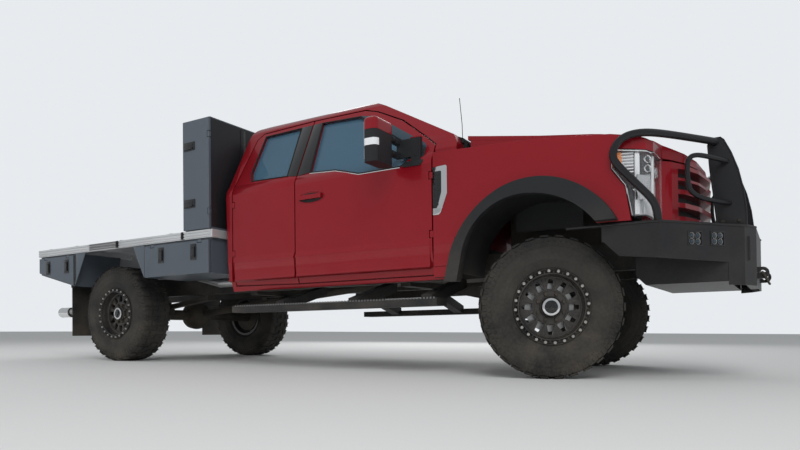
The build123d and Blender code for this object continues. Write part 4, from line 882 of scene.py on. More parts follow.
def slanted(side: float, proud: float = 0) -> Matrix:
    """Give the place of a sheet laid on the side windows' plane.

    Args:
        side: 1 for the left side, -1 for the right.
        proud: How far the sheet's underside stands out.

    Returns:
        A matrix whose X runs forward, Y up the slope and Z outwards.
    """
    up = Vector((0, -side * math.sin(WINDOW_LEAN), math.cos(WINDOW_LEAN)))
    out = Vector((0, side * math.cos(WINDOW_LEAN), math.sin(WINDOW_LEAN)))
    origin = Vector((0, side * BELT_Y, BELT_Z)) + out * proud
    return Matrix(
        (
            (1, up.x, out.x, origin.x),
            (0, up.y, out.y, origin.y),
            (0, up.z, out.z, origin.z),
            (0, 0, 0, 1),
        )
    )


def up_slope(points: Sequence[Flat]) -> list[Flat]:
    """Turn (x, height) points into (x, distance up the window plane)."""
    stretch = 1 / math.cos(WINDOW_LEAN)
    return [(x, (z - BELT_Z) * stretch) for x, z in points]


@dataclass
class CabSides:
    """Window surrounds, pillar plates, mouldings, handles and fender vents."""

    front_window: Sequence[Flat] = (
        (-1910, 1962), (-1530, 1945), (-880, 1525), (-1030, 1425),
        (-1390, 1425), (-1620, 1488), (-1880, 1506),
    )
    rear_window: Sequence[Flat] = (
        (-2134, 1958), (-2525, 1948), (-2548, 1600), (-2512, 1520), (-2118, 1510),
    )
    handle: Flat = (-1846, 1303)
    moulding: Sequence[Flat] = (
        (990, 889), (1000, 887), (1017, 841), (1009, 833), (1003, 752), (1000, 708),
        (1007, 692), (1000, 684), (984, 676), (960, 704), (975, 790),
    )
    front_pillar: Sequence[Flat] = ((-1917, 1966), (-2004, 1964), (-2004, 1492), (-1888, 1508))
    rear_pillar: Sequence[Flat] = ((-2016, 1964), (-2128, 1962), (-2112, 1508), (-2016, 1494))
    quarter: Sequence[Flat] = (
        (-1528, 1950), (-1374, 1917), (-862, 1590), (-842, 1556), (-842, 1530), (-880, 1528),
        (-1300, 1797),
    )
    sail: Sequence[Flat] = (
        (-842, 1552), (-842, 1436), (-862, 1412), (-1000, 1414), (-1010, 1424), (-1010, 1445),
        (-896, 1520), (-884, 1545),
    )
    vent_outline: Sequence[Flat] = (
        (-762, 1381), (-660, 1386), (-650, 1376), (-650, 1190), (-700, 1062), (-716, 1046),
        (-762, 1045),
    )
    vent_insert: Sequence[Flat] = (
        (-760, 1348), (-700, 1350), (-694, 1344), (-694, 1204), (-722, 1108), (-732, 1092),
        (-760, 1092),
    )
    vent_bars: Sequence[float] = (1325, 1290, 1255, 1220, 1185, 1150, 1118)

    def build(self) -> None:
        """Make both sides."""
        for name, side in SIDES:
            self._windows(name, side)
            self._mouldings(name, side)
            self._handle(name, side)
            self._vent(name, side)

    def _windows(self, name: str, side: float) -> None:
        """Rubber seals, bright belt strip, mirror sail, quarter glass and pillar plates.

        Args:
            name: right or left.
            side: -1 for the right side, 1 for the left.
        """
        for door, outline in (("front", self.front_window), ("rear", self.rear_window)):
            body = f"door_{door}_{name}"
            form = Form().add(tube(on_side(side, outline, 1), 6.5, 2, True))
            form.make(f"window_seal_{door}_{name}", "rubber", body)
        belt = [(x, z - 7) for x, z in self.front_window[3:]]
        form = Form().add(tube(on_side(side, belt, 3), 3.6, 2))
        form.make(f"belt_strip_{name}", "chrome", f"door_front_{name}")
        form = Form().add(prism(up_slope(self.sail), 5, 2), slanted(side, 0.5))
        form.make(f"mirror_sail_{name}", "dark_plastic", f"door_front_{name}")
        form = Form().add(prism(up_slope(self.quarter), 4, 1.5), slanted(side, -0.5))
        form.make(f"front_quarter_glass_{name}", "quarter_glass", f"door_front_{name}")
        for door, outline in (("front", self.front_pillar), ("rear", self.rear_pillar)):
            form = Form().add(prism(up_slope(outline), 5, 2), slanted(side, -1))
            form.make(f"pillar_plate_{door}_{name}", "gloss_black", f"door_{door}_{name}")

    def _mouldings(self, name: str, side: float) -> None:
        """Raised lower band along the doors, the cab corner and the fender.

        Args:
            name: right or left.
            side: -1 for the right side, 1 for the left.
        """
        runs = (
            ("front", f"door_front_{name}", -2000, -792),
            ("rear", f"door_rear_{name}", -2672, -2018),
            ("corner", "chassis", -2738, -2702),
            ("fender", "chassis", -760, -600),
        )
        for part, body, start, end in runs:
            stand = Matrix(((0, 0, 1, start), (side, 0, 0, 0), (0, 1, 0, 0), (0, 0, 0, 1)))
            band = prism(self.moulding, end - start)
            # The end by a door's hinge sinks into the skin, so that the open door clears it.
            flush = 0 if part in ("rear", "fender") else end - start
            for vert in band.verts:
                if abs(vert.co.z - flush) < 1:
                    vert.co.x = min(vert.co.x, 1003)
            form = Form().add(band, stand)
            form.make(f"lower_band_{part}_{name}", "red_paint", body)

    def _handle(self, name: str, side: float) -> None:
        """Oval recess rim, and a dark rubber oval behind and below the pull bar as painted shade in the
        recess.

        Args:
            name: right or left.
            side: -1 for the right side, 1 for the left.
        """
        x, z = self.handle
        body = f"door_front_{name}"
        rim = tube(on_side(side, oval((x, z), (128, 46), 28), -1), 5, 2, True)
        Form().add(rim).make(f"handle_rim_{name}", "red_paint", body)
        # A dark rubber oval set a little low in the recess: painted shade under the pull bar.
        recess_shade_sheet = prism(oval((x, z - 4), (116, 37), 28), 2.4, 0.8)
        Form().add(recess_shade_sheet, upright(999.5, side)).make(f"handle_recess_painted_shade_{name}", "rubber", body)

    def _vent(self, name: str, side: float) -> None:
        """Blank fender vent with a bright surround and a dark insert.

        Args:
            name: right or left.
            side: -1 for the right side, 1 for the left.
        """
        stand = upright(998, side)
        Form().add(prism(self.vent_outline, 10, 4), stand).make(f"vent_surround_{name}", "chrome")
        form = Form().add(prism(self.vent_insert, 12.5, 1.5), stand)
        for height in self.vent_bars:
            width = 44 if height > 1195 else 34
            form.add(block((width, 4, 14), 1.5), at(-757 + width / 2 + 6, side * 1010.5, height))
        form.make(f"vent_insert_{name}", "gloss_black")


@dataclass
class CabFront:
    """Windscreen edge, inner mirror, wipers, antenna, roof lines and rear window seal."""

    glass_top: Point = (-1345, 605, 1972)
    glass_foot: Point = (-640, 780, 1578)
    roof_line: Sequence[Flat] = ((-2640, 2040), (-2300, 2058), (-1900, 2064), (-1500, 2046))
    rear_glass: Sequence[Flat] = (
        (600, 1950), (-600, 1950), (-625, 1925), (-625, 1615), (-600, 1590), (600, 1590),
        (625, 1615), (625, 1925),
    )

    def build(self) -> None:
        """Make every piece."""
        self._screen_edge()
        self._wipers()
        self._antenna()
        self._roof()
        self._rear_window()

    def _screen_edge(self) -> None:
        """Black band round the windscreen, and the inner mirror."""
        (tx, ty, tz), (fx, fy, fz) = self.glass_top, self.glass_foot
        corners = ((tx, ty, tz + 4), (fx, fy, fz + 4), (fx, -fy, fz + 4), (tx, -ty, tz + 4))
        Form().add(tube(corners, 11, 3, True)).make("screen_edge", "rubber")
        form = Form().add(block((60, 230, 70), 14, 3), at(-1250, 0, 1868, (0, 12, 0)))
        form.add(tube(((-1270, 0, 1895), (-1290, 0, 1925)), 9))
        form.make("inner_mirror", "dark_plastic")

    def _wipers(self) -> None:
        """Two wiper arms and blades resting on the foot of the glass."""
        form = Form()
        for y in (-560, 90):
            form.add(tube(((-612, y, 1592), (-640, y + 30, 1606), (-680, y + 280, 1622)), 6, 2))
            form.add(tube(((-668, y + 20, 1608), (-700, y + 560, 1630)), 7, 2))
            form.add(drum(14, 16, 16, 3), at(-612, y, 1592))
        form.make("wipers", "rubber")

    def _antenna(self) -> None:
        """Thin whip on the right of the cowl."""
        form = Form().add(tube(((-600, -850, 1560), (-604, -850, 1700), (-622, -850, 1886)), 2.6, 2))
        form.add(drum(12, 26, 20, 3, 6), at(-600, -850, 1576))
        form.make("antenna", "rubber")

    def _roof(self) -> None:
        """Drip lines along the roof and the high rear lamp."""
        form = Form()
        for side in (-1, 1):
            line = [(x, side * 655, z) for x, z in self.roof_line]
            form.add(tube(line, 5, 2, curved=True))
        form.make("roof_drip_lines", "red_paint")
        Form().add(block((10, 260, 36), 4), at(-2708, 0, 2003)).make("high_rear_lamp", "tail_lens")

    def _rear_window(self) -> None:
        """Seal and slider bars of the rear window."""
        corners = [(-2727, y, z) for y, z in self.rear_glass]
        form = Form().add(tube(corners, 8, 2, True))
        form.add(block((8, 12, 356), 2), at(-2727, 210, 1770), at(-2727, -210, 1770))
        form.make("rear_window_seal", "rubber")


# ---------------------------------------------------------------- nose and bumper


@dataclass
class Headlamps:
    """What shows inside the clear headlamp covers, and their bright edges."""

    louvre_heights: Sequence[float] = (1300, 1281, 1262, 1243, 1224, 1205, 1186)
    housing: Sequence[Flat] = (
        (566, 895), (612, 872), (634, 836), (644, 655), (624, 655), (612, 826), (596, 852),
        (560, 872),
    )
    rear_housing: Sequence[Flat] = ((466, 914), (560, 896), (560, 878), (466, 896))
    bowl: Sequence[Flat] = ((22, -6), (26, 4), (32, 8), (36, 4), (36, -6))
    lens: Sequence[Flat] = ((0, 9), (12, 7), (20, 2), (22, -4), (0, -4))
    top_edge: Sequence[Point] = (
        (450, 961, 1326), (560, 942, 1312), (635, 909, 1303), (668, 852, 1299),
        (682, 655, 1298),
    )
    rear_edge: Sequence[Point] = (
        (449, 961, 1318), (449, 961, 1214), (527, 949, 1104), (559, 943, 918),
    )

    def build(self) -> None:
        """Make the inner parts and the edges of both lamps."""
        self._reflectors()
        self._louvres()
        self._projectors()
        self._edges()

    def _reflectors(self) -> None:
        """Pale housings behind the covers."""
        form = Form().add(prism(self.housing, 352, 2), *both_sides(at(z=928)))
        form.add(prism(self.rear_housing, 84, 2), *both_sides(at(z=1222)))
        form.make("lamp_housings", "lamp_white")

    def _louvres(self) -> None:
        """Level white louvres, the light bars and the orange markers."""
        form = Form()
        for index, z in enumerate(self.louvre_heights):
            length = 86 - 7 * max(0, index - 4)
            form.add(block((length, 16, 8), 2), *both_sides(at(568 - length / 2, 925, z, (0, 0, -12))))
        form.add(block((30, 22, 150), 6), *both_sides(at(584, 908, 1226, (0, 0, -24))))
        form.add(block((16, 34, 236), 6), *both_sides(at(655, 806, 1174)))
        form.add(block((30, 14, 120), 4), *both_sides(at(584, 914, 985, (0, 0, -22))))
        form.add(block((22, 16, 90), 4), *both_sides(at(624, 888, 972, (0, 0, -45))))
        form.make("lamp_light_bars", "lamp_white")
        form = Form().add(block((46, 18, 76), 6), *both_sides(at(478, 936, 1272, (0, 0, -10))))
        form.make("side_markers", "amber")

    def _projectors(self) -> None:
        """Dark lamp bodies with round lenses and a ribbed chrome bowl below."""
        form = Form()
        turn = (0, 0, 52)
        form.add(block((34, 62, 118), 8), *both_sides(at(624, 876, 1228, turn)))
        form.add(block((24, 120, 96), 8), *both_sides(at(640, 724, 1210)))
        form.make("lamp_bodies", "gloss_black")
        form = Form()
        forward, smaller = (0, 90, 0), Matrix.Scale(0.7, 4)
        for z in (1200, 1256):
            outer = at(643, 893, z, forward) @ at(turn=(-38, 0, 0)) @ smaller
            form.add(lathe(self.bowl, 40), *both_sides(outer))
        inner = at(656, 700, 1210, forward)
        form.add(lathe(self.bowl, 40), *both_sides(inner, at(656, 752, 1210, forward) @ smaller))
        form.add(block((8, 104, 150), 3), *both_sides(at(612, 895, 1088, (0, 8, 36))))
        for k in range(6):
            form.add(block((8, 6, 150), 2), *both_sides(at(592 + 8.5 * k, 911 - 9 * k, 1088, (0, 8, 36))))
        form.add(block((12, 150, 16), 4), *both_sides(at(656, 730, 938)))
        form.make("lamp_chrome", "chrome")
        form = Form()
        form.add(lathe(self.lens, 32, closed=False), *both_sides(at(660, 700, 1210, forward)))
        form.make("lamp_lenses", "mirror_glass")

    def _edges(self) -> None:
        """Bright strips above each lamp and down its rear edge."""
        form = Form()
        for path, size in ((self.top_edge, 5.5), (self.rear_edge, 4.5)):
            form.add(tube(path, size, 2), *both_sides(at()))
        form.make("lamp_edges", "chrome")


@dataclass
class NoseTrim:
    """The grille guard, bumper folds, lamp pods and tow shackles."""

    plate: Sequence[Flat] = (
        (980, 870), (1140, 870), (1138, 980), (1124, 1100), (1096, 1230), (1058, 1340),
        (1018, 1425), (1000, 1442), (940, 1442), (930, 1400), (942, 1240), (958, 1100),
    )
    hoop: Sequence[Point] = (
        (975, 440, 1420), (890, 560, 1422), (700, 872, 1412), (610, 968, 1404),
        (530, 998, 1386), (480, 1004, 1340), (460, 1006, 1285), (478, 1004, 1230),
        (600, 985, 1090), (670, 950, 1010), (698, 930, 950), (705, 925, 868),
    )
    loop: Sequence[Point] = (
        (1040, 440, 1285), (920, 640, 1300), (856, 700, 1290), (838, 710, 1240),
        (842, 710, 1110), (862, 700, 1060), (930, 640, 1020), (1050, 440, 1020),
    )
    hoop_radius: float = 23
    loop_radius: float = 15
    crossbars: Sequence[Flat] = ((975, 1405), (1020, 1180), (1050, 990))
    loop_ends: Sequence[Flat] = ((1040, 1285), (1050, 1020))
    weld: Sequence[Flat] = ((23, -5), (31, -1), (23, 8), (20, 0))
    bumper_lip: Sequence[Point] = (
        (165, 970, 868), (382, 968, 868), (712, 955, 868), (1043, 558, 868),
        (1128, 470, 868), (1184, 340, 868),
    )
    bumper_fold: Sequence[Point] = (
        (395, 968, 770), (484, 964, 680), (713, 955, 656), (1043, 558, 643),
    )
    lamp_bowl: Sequence[Flat] = ((12, -3), (17, 4), (19, 4), (19, -3))
    shackle_bow: Sequence[Point] = (
        (0, -19, 0), (14, -27, 0), (44, -26, 0), (58, 0, 0), (44, 26, 0),
        (14, 27, 0), (0, 19, 0),
    )

    def build(self) -> None:
        """Make every piece."""
        self._guard()
        self._bumper()
        self._lamp_pods()
        self._shackles()

    def _guard(self) -> None:
        """The smooth guard itself, with weld beads, edge beads and bolts."""
        form = Form().add(prism(self.plate, 10, 2), *both_sides(upright(435)))
        form.add(tube(self.hoop, self.hoop_radius, 5, curved=True), *both_sides(at()))
        form.add(tube(self.loop, self.loop_radius, 4, curved=True), *both_sides(at()))
        for x, z in self.crossbars:
            form.add(drum(self.hoop_radius, 880, 24), at(x, 0, z, (90, 0, 0)))
        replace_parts(form.make("guard_frame", "black_paint"), "grille_guard")
        form = Form()
        for side in (-1, 1):
            form.add(tube([(x, side * 440, z) for x, z in (*self.plate[1:], self.plate[0])], 7, 2))
        form.make("guard_plate_beads", "black_paint")
        form = Form()
        for spots, scale in ((self.crossbars, 1), (self.loop_ends, 0.68)):
            for x, z in spots:
                place = at(x, 434, z, (90, 0, 0)) @ Matrix.Scale(scale, 4)
                form.add(lathe(self.weld, 24), *both_sides(place))
        form.make("guard_welds", "black_paint")
        form = Form()
        for x, z in ((1010, 905), (1100, 905)):
            form.add(drum(13, 3, 20, 0.6), *both_sides(at(x, 446.5, z, (90, 0, 0))))
            form.add(drum(9.5, 9, 6, 1.2), *both_sides(at(x, 451, z, (90, 0, 0))))
        form.make("guard_bolts", "iron")

    def _bumper(self) -> None:
        """Folded upper lip and the fold along the wings' lower edge."""
        form = Form()
        form.add(tube(self.bumper_lip, 9, 3), *both_sides(at()))
        form.add(tube(self.bumper_fold, 4, 2), *both_sides(at()))
        form.make("bumper_folds", "black_paint")

    def _lamp_pods(self) -> None:
        """Frames and round emitters of the four bumper lamps."""
        faces = [at(862, 741, 775, (0, 0, 40)), at(972, 611, 780, (0, 0, 40))]
        frames, emitters, rims = Form(), Form(), Form()
        for face in faces:
            for y, z, size in (
                (0, 41, (10, 104, 7)), (0, -41, (10, 104, 7)),
                (50, 0, (10, 7, 88)), (-50, 0, (10, 7, 88)),
            ):
                frames.add(block(size, 2), *both_sides(face @ at(23, y, z)))
            for y in (-23, 23):
                for z in (-18, 18):
                    spot = face @ at(22, y, z, (0, 90, 0))
                    emitters.add(drum(11, 6, 20, 2, 9), *both_sides(spot))
                    rims.add(lathe(self.lamp_bowl, 24), *both_sides(spot))
        frames.make("bumper_lamp_frames", "gloss_black")
        rims.make("bumper_lamp_bowls", "dull_aluminium")
        emitters.make("bumper_lamp_emitters", "quarter_glass")

    def _shackles(self) -> None:
        """A bow shackle with its pin in each tow eye."""
        form = Form()
        places = both_sides(at(1216, 220, 590, (0, 60, 0)))
        form.add(tube(self.shackle_bow, 8, 3, curved=True), *places)
        form.add(drum(8.5, 72, 20, 2), *both_sides(at(1216, 220, 590, (90, 0, 0))))
        form.make("tow_shackles", "iron")


# ---------------------------------------------------------------- deck and boxes


@dataclass
class DeckTrim:
    """Side rails, clamps, box latches, facets and tail pieces."""

    half_width: float = 1105
    front: float = -2850
    rear: float = -5386
    rail_ribs: Sequence[Point] = ((1124, 10, 16), (1100, 7, 20), (1078, 10, 12))
    clamps: Sequence[float] = (-4092, -3190)
    front_facet: Sequence[Flat] = ((-3703, 1058), (-3864, 1058), (-3712, 768), (-3703, 768))
    rear_facet: Sequence[Flat] = ((-4742, 1058), (-4588, 1058), (-4735, 786), (-4742, 770))

    def build(self) -> None:
        """Make every piece."""
        self._rails()
        self._floor()
        self._cabinet()
        self._boxes()
        self._tail()

    def _rails(self) -> None:
        """Bright ribbed side rails with a duller stretch and dark clamps."""
        bright, dull, dark = Form(), Form(), Form()
        for form, runs in (
            (bright, ((self.front, -4075), (-4530, self.rear))),
            (dull, ((-4110, -4520),)),
        ):
            for start, end in runs:
                middle, length = (start + end) / 2, start - end
                for z, depth, height in self.rail_ribs:
                    rib = block((length, depth, height), 2.4)
                    form.add(rib, *both_sides(at(middle, self.half_width + 2, z)))
        for x in self.clamps:
            dark.add(block((30, 16, 66), 4), *both_sides(at(x, self.half_width + 4, 1100)))
            bolts = (at(x, self.half_width + 14, z, (90, 0, 0)) for z in (1112, 1088))
            dark.add(drum(7, 10, 6, 1), *both_sides(*bolts))
        bright.make("deck_rails", "deck_aluminium")
        dull.make("deck_rail_sections", "dull_aluminium")
        dark.make("deck_rail_clamps", "black_paint")

    def _floor(self) -> None:
        """Raised bars of the tread floor and recessed lashing rings."""
        form = Form()
        for row in range(20):
            form.add(block((2150, 26, 3), 1.2, 1), at(-4280, -1026 + 108 * row, 1138))
        form.make("deck_floor_ribs", "dull_aluminium")
        form = Form()
        hoop = [(x, y, 0) for x, y in oval((0, 0), (26, 26), 16)]
        places = both_sides(*(at(x, 1040, 1139) for x in (-3400, -4100, -4800, -5250)))
        form.add(tube(hoop, 4.5, 2, True), *(p @ at(z=3) for p in places))
        form.add(block((70, 70, 4), 1.6), *places)
        form.make("lashing_rings", "steel")

    def _cabinet(self) -> None:
        """Latches and roof seams of the tall cabinet, and a black sheet over its front face as painted shade.
        """
        seams = Form()
        for name, side in SIDES:
            body = f"cabinet_door_{name}"
            form = Form()
            for z in (1865, 1368):
                place = at(-3085, 1121, z, (0, 90, 0))
                self._pull(form, mirrored(side) @ place)
            form.make(f"cabinet_latches_{name}", "gloss_black", body)
        for y in (-1100, 1100):
            seams.add(block((300, 8, 8), 2), at(-3005, y, 2090))
        seams.add(block((8, 2200, 8), 2), at(-2852, 0, 2090), at(-3160, 0, 2090))
        seams.make("cabinet_roof_seams", "box_paint")
        # A black sheet with three ribs over the whole front face of the cabinet: painted shade on that face.
        form = Form().add(block((3, 2190, 930), 1), at(-2845.5, 0, 1618))
        form.add(block((8, 60, 900), 3), *(at(-2843, y, 1618) for y in (-720, 0, 720)))
        form.make("cabinet_front_painted_shade", "black_paint")

    @staticmethod
    def _pull(form: Form, place: Matrix) -> None:
        """Add one latch, a flat dish with a raised pull along its Z.

        Args:
            form: The form it is added to.
            place: Its place.
        """
        form.add(block((74, 4, 138), 1.6), place @ at(y=1))
        form.add(block((16, 14, 96), 5, 3), place @ at(18, 9, 0))
        form.add(drum(8, 5, 20, 1), place @ at(-14, 4, 38, (90, 0, 0)))

    def _boxes(self) -> None:
        """Latches on the side box doors, slanted facets and the rear boxes' slots."""
        for name, side in SIDES:
            for box, spots, z in (("front", (-3053, -3471), 950), ("rear", (-4900, -5215), 942)):
                form = Form()
                for x in spots:
                    self._pull(form, mirrored(side) @ at(x, 1112.5, z))
                form.make(f"{box}_box_latches_{name}", "gloss_black", f"box_door_{box}_{name}")
        form = Form()
        for facet in (self.front_facet, self.rear_facet):
            form.add(prism(facet, 7, 2), *both_sides(upright(1102)))
        form.make("box_end_facets", "box_paint")
        form = Form().add(block((34, 8, 296), 2), *both_sides(at(-4763, 1102, 900)))
        form.make("rear_box_slots", "gloss_black")

    def _tail(self) -> None:
        """Tail lamp bezels, a blank plate and flap bolts."""
        form = Form()
        for y in (490, 380):
            for z in (-40, 40):
                form.add(block((8, 102, 7), 2), *both_sides(at(-5404, y, 1003 + z)))
            for w in (-50, 50):
                form.add(block((8, 7, 80), 2), *both_sides(at(-5404, y + w, 1003)))
        form.make("tail_lamp_bezels", "gloss_black")
        form = Form().add(block((5, 308, 156), 4, 3), at(-5400, 0, 1003))
        form.make("rear_plate_blank", "plate_white")
        form = Form()
        for y in (740, 820, 900, 980):
            form.add(drum(9, 5, 6, 1), *both_sides(at(-4970, y, 738, (0, 90, 0))))
        form.make("mud_flap_bolts", "steel")


@dataclass
class RunningGear:
    """Step teeth, spring coils, the rear axle's cover with its bolts, and the exhaust tip."""

    step_edge: float = 1060
    step_top: float = 470
    step_front: float = -740
    teeth_length: float = 1900
    tooth_pitch: float = 26
    tooth: Sequence[Flat] = ((0, -7), (15, -7), (13, 5), (3, 5))
    coil_y: float = 385
    coil_z: float = 640
    coil_radius: float = 56
    coil_height: float = 272
    coil_turns: float = 5.5
    front_axle_x: float = 2015
    rear_axle_x: float = -2180
    axle_height: float = 460
    cover_bolt_count: int = 10
    cover_bolt_circle: float = 128
    tip: Sequence[Flat] = (
        (46.5, -87), (51.5, -87), (53.5, -80), (52, -70), (52, 78), (46.5, 78),
    )

    def build(self) -> None:
        """Make every piece."""
        self._step_teeth()
        self._coils()
        self._axle_bolts()
        self._exhaust_tip()

    def _step_teeth(self) -> None:
        """Bright serrations along the outer edge of both side steps."""
        upended = (90, 0, 0)
        spots = [
            at(self.step_front - k * self.tooth_pitch, side * self.step_edge + 3.5, self.step_top, upended)
            for k in range(int(self.teeth_length / self.tooth_pitch))
            for side in (-1, 1)
        ]
        Form().add(prism(self.tooth, 7), *spots).make("side_step_teeth", "dull_aluminium")

    def _coils(self) -> None:
        """Coils wound round the front spring columns."""
        turns, steps = self.coil_turns, self.coil_turns * 22
        coil = [
            (
                self.coil_radius * math.cos(math.tau * turns * k / steps),
                self.coil_radius * math.sin(math.tau * turns * k / steps),
                -self.coil_height / 2 + self.coil_height * k / steps,
            )
            for k in range(int(steps) + 1)
        ]
        places = (at(self.front_axle_x, side * self.coil_y, self.coil_z) for side in (-1, 1))
        form = Form().add(tube(coil, 8, 3), *places)
        form.make("front_coils", "frame_paint", place=Place.GROUND)

    def _axle_bolts(self) -> None:
        """Cover flange and bolts at the back of the rear axle."""
        x, z = self.rear_axle_x - 62, self.axle_height
        form = Form().add(drum(140, 22, 48, 4), at(x, 0, z, (0, 90, 0)))
        form.add(drum(112, 40, 48, 14), at(x - 28, 0, z, (0, 90, 0)))
        form.make("axle_cover", "iron", place=Place.GROUND)
        circle = oval((0, z), (self.cover_bolt_circle, self.cover_bolt_circle), self.cover_bolt_count)
        bolts = (at(x - 15, y, height, (0, 90, 0)) for y, height in circle)
        form = Form().add(drum(8, 10, 6, 1.5), *bolts)
        form.make("axle_cover_bolts", "steel", place=Place.GROUND)

    def _exhaust_tip(self) -> None:
        """Bright sleeve over the end of the exhaust."""
        Form().add(lathe(self.tip, 48), at(-5300, -850, 492, (0, 90, 0))).make("exhaust_tip", "chrome")


# ---------------------------------------------------------------- mirrors and skins cut from solids


def skin_of(node: str, planes: Sequence[tuple[Point, Point]], proud: float) -> bmesh.types.BMesh:
    """Copy the part of a CAD solid's skin between planes.

    Args:
        node: The CAD node.
        planes: A point of each plane, in metres, and the side that is kept.
        proud: How far the copy stands out, in metres.

    Returns:
        The merged skin, in metres, closed along the cuts.
    """
    bm = bmesh.new()
    bm.from_mesh(frame["nodes"][node].data)
    bmesh.ops.remove_doubles(bm, verts=bm.verts, dist=1e-5)
    bm.normal_update()
    for vert in bm.verts:
        vert.co += vert.normal * proud
    for origin, normal in planes:
        cut = bmesh.ops.bisect_plane(
            bm,
            geom=bm.verts[:] + bm.edges[:] + bm.faces[:],
            plane_co=origin,
            plane_no=normal,
            clear_inner=True,
        )
        rim = [part for part in cut["geom_cut"] if isinstance(part, bmesh.types.BMEdge)]
        bmesh.ops.holes_fill(bm, edges=rim, sides=0)
    return bm


@dataclass
class Mirrors:
    """Painted caps, turn lamps, glasses and arm collars of the door mirrors."""

    centre: Point = (-1075, 1215, 1555)
    cap_height: float = 1622

    def build(self) -> None:
        """Make both mirrors' pieces."""
        for name, side in SIDES:
            self._one(name, side)

    def _one(self, name: str, side: float) -> None:
        """Make the pieces of one mirror.

        Args:
            name: right or left.
            side: -1 for the right side, 1 for the left.
        """
        x, y, z = self.centre
        body = f"door_front_{name}"
        cut = BODY_PLACE @ Vector((x, side * y, self.cap_height))
        form = Form().add(skin_of(f"mirror_{name}", ((cut, (0, 0, 1)),), 0.0018))
        form.make(f"mirror_cap_{name}", "red_paint", body, Place.WORLD)
        flip = mirrored(side)
        low, high, inboard = (
            BODY_PLACE @ Vector(spot)
            for spot in ((x, side * y, z - 44), (x, side * y, z + 4), (x + 57, side * (y + 78), z))
        )
        planes = (
            (low, (0, 0, 1)),
            (high, (0, 0, -1)),
            (inboard, (-0.35, side * 0.94, 0)),
        )
        form = Form().add(skin_of(f"mirror_{name}", planes, 0.0025))
        form.make(f"mirror_lamp_{name}", "lamp_white", body, Place.WORLD)
        form = Form()
        form.add(block((4, 188, 168), 1.6), flip @ at(x - 55.5, y, z + 44))
        form.add(block((4, 188, 74), 1.6), flip @ at(x - 55.5, y, z - 92))
        form.make(f"mirror_glass_{name}", "mirror_glass", body)
        form = Form()
        for height in (1505, 1600):
            form.add(drum(20, 40, 24, 4), flip @ at(-1040, 1080, height, (90, 0, 0)))
        form.make(f"mirror_arm_collars_{name}", "rubber", body)


@dataclass
class Seating:
    """Cushions, headrests and belts in place of the plain seat solids."""

    front_x: float = -1780
    rear_x: float = -2480

    def build(self) -> None:
        """Make every seat."""
        piece = self._seat("driver", self.front_x, 430, 520)[0]
        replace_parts(piece, "seats")
        self._seat("passenger", self.front_x, -430, 520)
        self._seat("rear_bench", self.rear_x, 0, 1500)
        self._belts()

    @staticmethod
    def _pad(size: Point, crown: float, channels: int) -> bmesh.types.BMesh:
        """Make a stuffed pad with a crowned top and sewn channels.

        Args:
            size: Its length, width and thickness.
            crown: How far the middle rises.
            channels: Number of sewn lines across its width.

        Returns:
            The pad, centred on the origin, its soft side upwards.
        """
        bm = block(size, min(size[2] * 0.32, 36), 3)
        bmesh.ops.subdivide_edges(bm, edges=bm.edges[:], cuts=3, use_grid_fill=True)
        half_x, half_y, half_z = (value / 2 for value in size)
        for vert in bm.verts:
            u, v = vert.co.x / half_x, vert.co.y / half_y
            if vert.co.z > 0:
                swell = crown * (1 - u * u) * (1 - v ** 4)
                lines = (2 * k / (channels + 1) - 1 for k in range(1, channels + 1))
                groove = sum(math.exp(-(((v - line) * half_y / 9) ** 2)) for line in lines)
                vert.co.z += (swell - 5 * groove * (1 - u ** 4)) * vert.co.z / half_z
            vert.co.y *= 1 - 0.012 * (1 - u * u)
        return bm

    def _seat(self, label: str, x: float, y: float, width: float) -> list[bpy.types.Object]:
        """Make one seat's cushion, back, headrests and frame.

        Args:
            label: What its pieces are named after.
            x: Its middle's place along the truck.
            y: Its middle's place across the truck.
            width: Its width.

        Returns:
            The padded pieces.
        """
        channels = 3 if width < 800 else 8
        pieces = []
        pad = self._pad((480, width - 16, 120), 10, channels)
        form = Form().add(pad, at(x + 60, y, 1068, (0, -3, 0)))
        pieces.append(form.make(f"seat_cushion_{label}", "seat_fabric"))
        place = at(x - 122, y, 1450, (0, 86, 0))
        form = Form().add(self._pad((610, width - 24, 110), 10, channels), place)
        pieces.append(form.make(f"seat_back_{label}", "seat_fabric"))
        form = Form()
        spots = (y,) if width < 800 else (-460, 460)
        for spot in spots:
            form.add(self._pad((120, 260, 84), 8, 0), at(x - 146, spot, 1818, (0, 86, 0)))
        pieces.append(form.make(f"headrest_{label}", "seat_fabric"))
        form = Form()
        for spot in spots:
            for rod in (-60, 60):
                form.add(drum(7, 90, 16), at(x - 152, spot + rod, 1760, (0, -3, 0)))
        form.make(f"headrest_posts_{label}", "steel")
        form = Form()
        form.add(block((380, width - 70, 90), 16, 3), at(x + 80, y, 960))
        runners = (at(x + 80, y + s * (width / 2 - 60), 895) for s in (-1, 1))
        form.add(block((400, 30, 40), 6), *runners)
        form.make(f"seat_base_{label}", "dark_plastic")
        return pieces

    def _belts(self) -> None:
        """Shoulder belts down the door pillars."""
        form = Form()
        for x in (-1990, -2590):
            strap = prism(((-23, 0), (23, 0), (23, 560), (-23, 560)), 2)
            form.add(strap, *both_sides(at(x, 800, 1270, (96, 0, 0))))
        form.make("seat_belts", "belt_web")


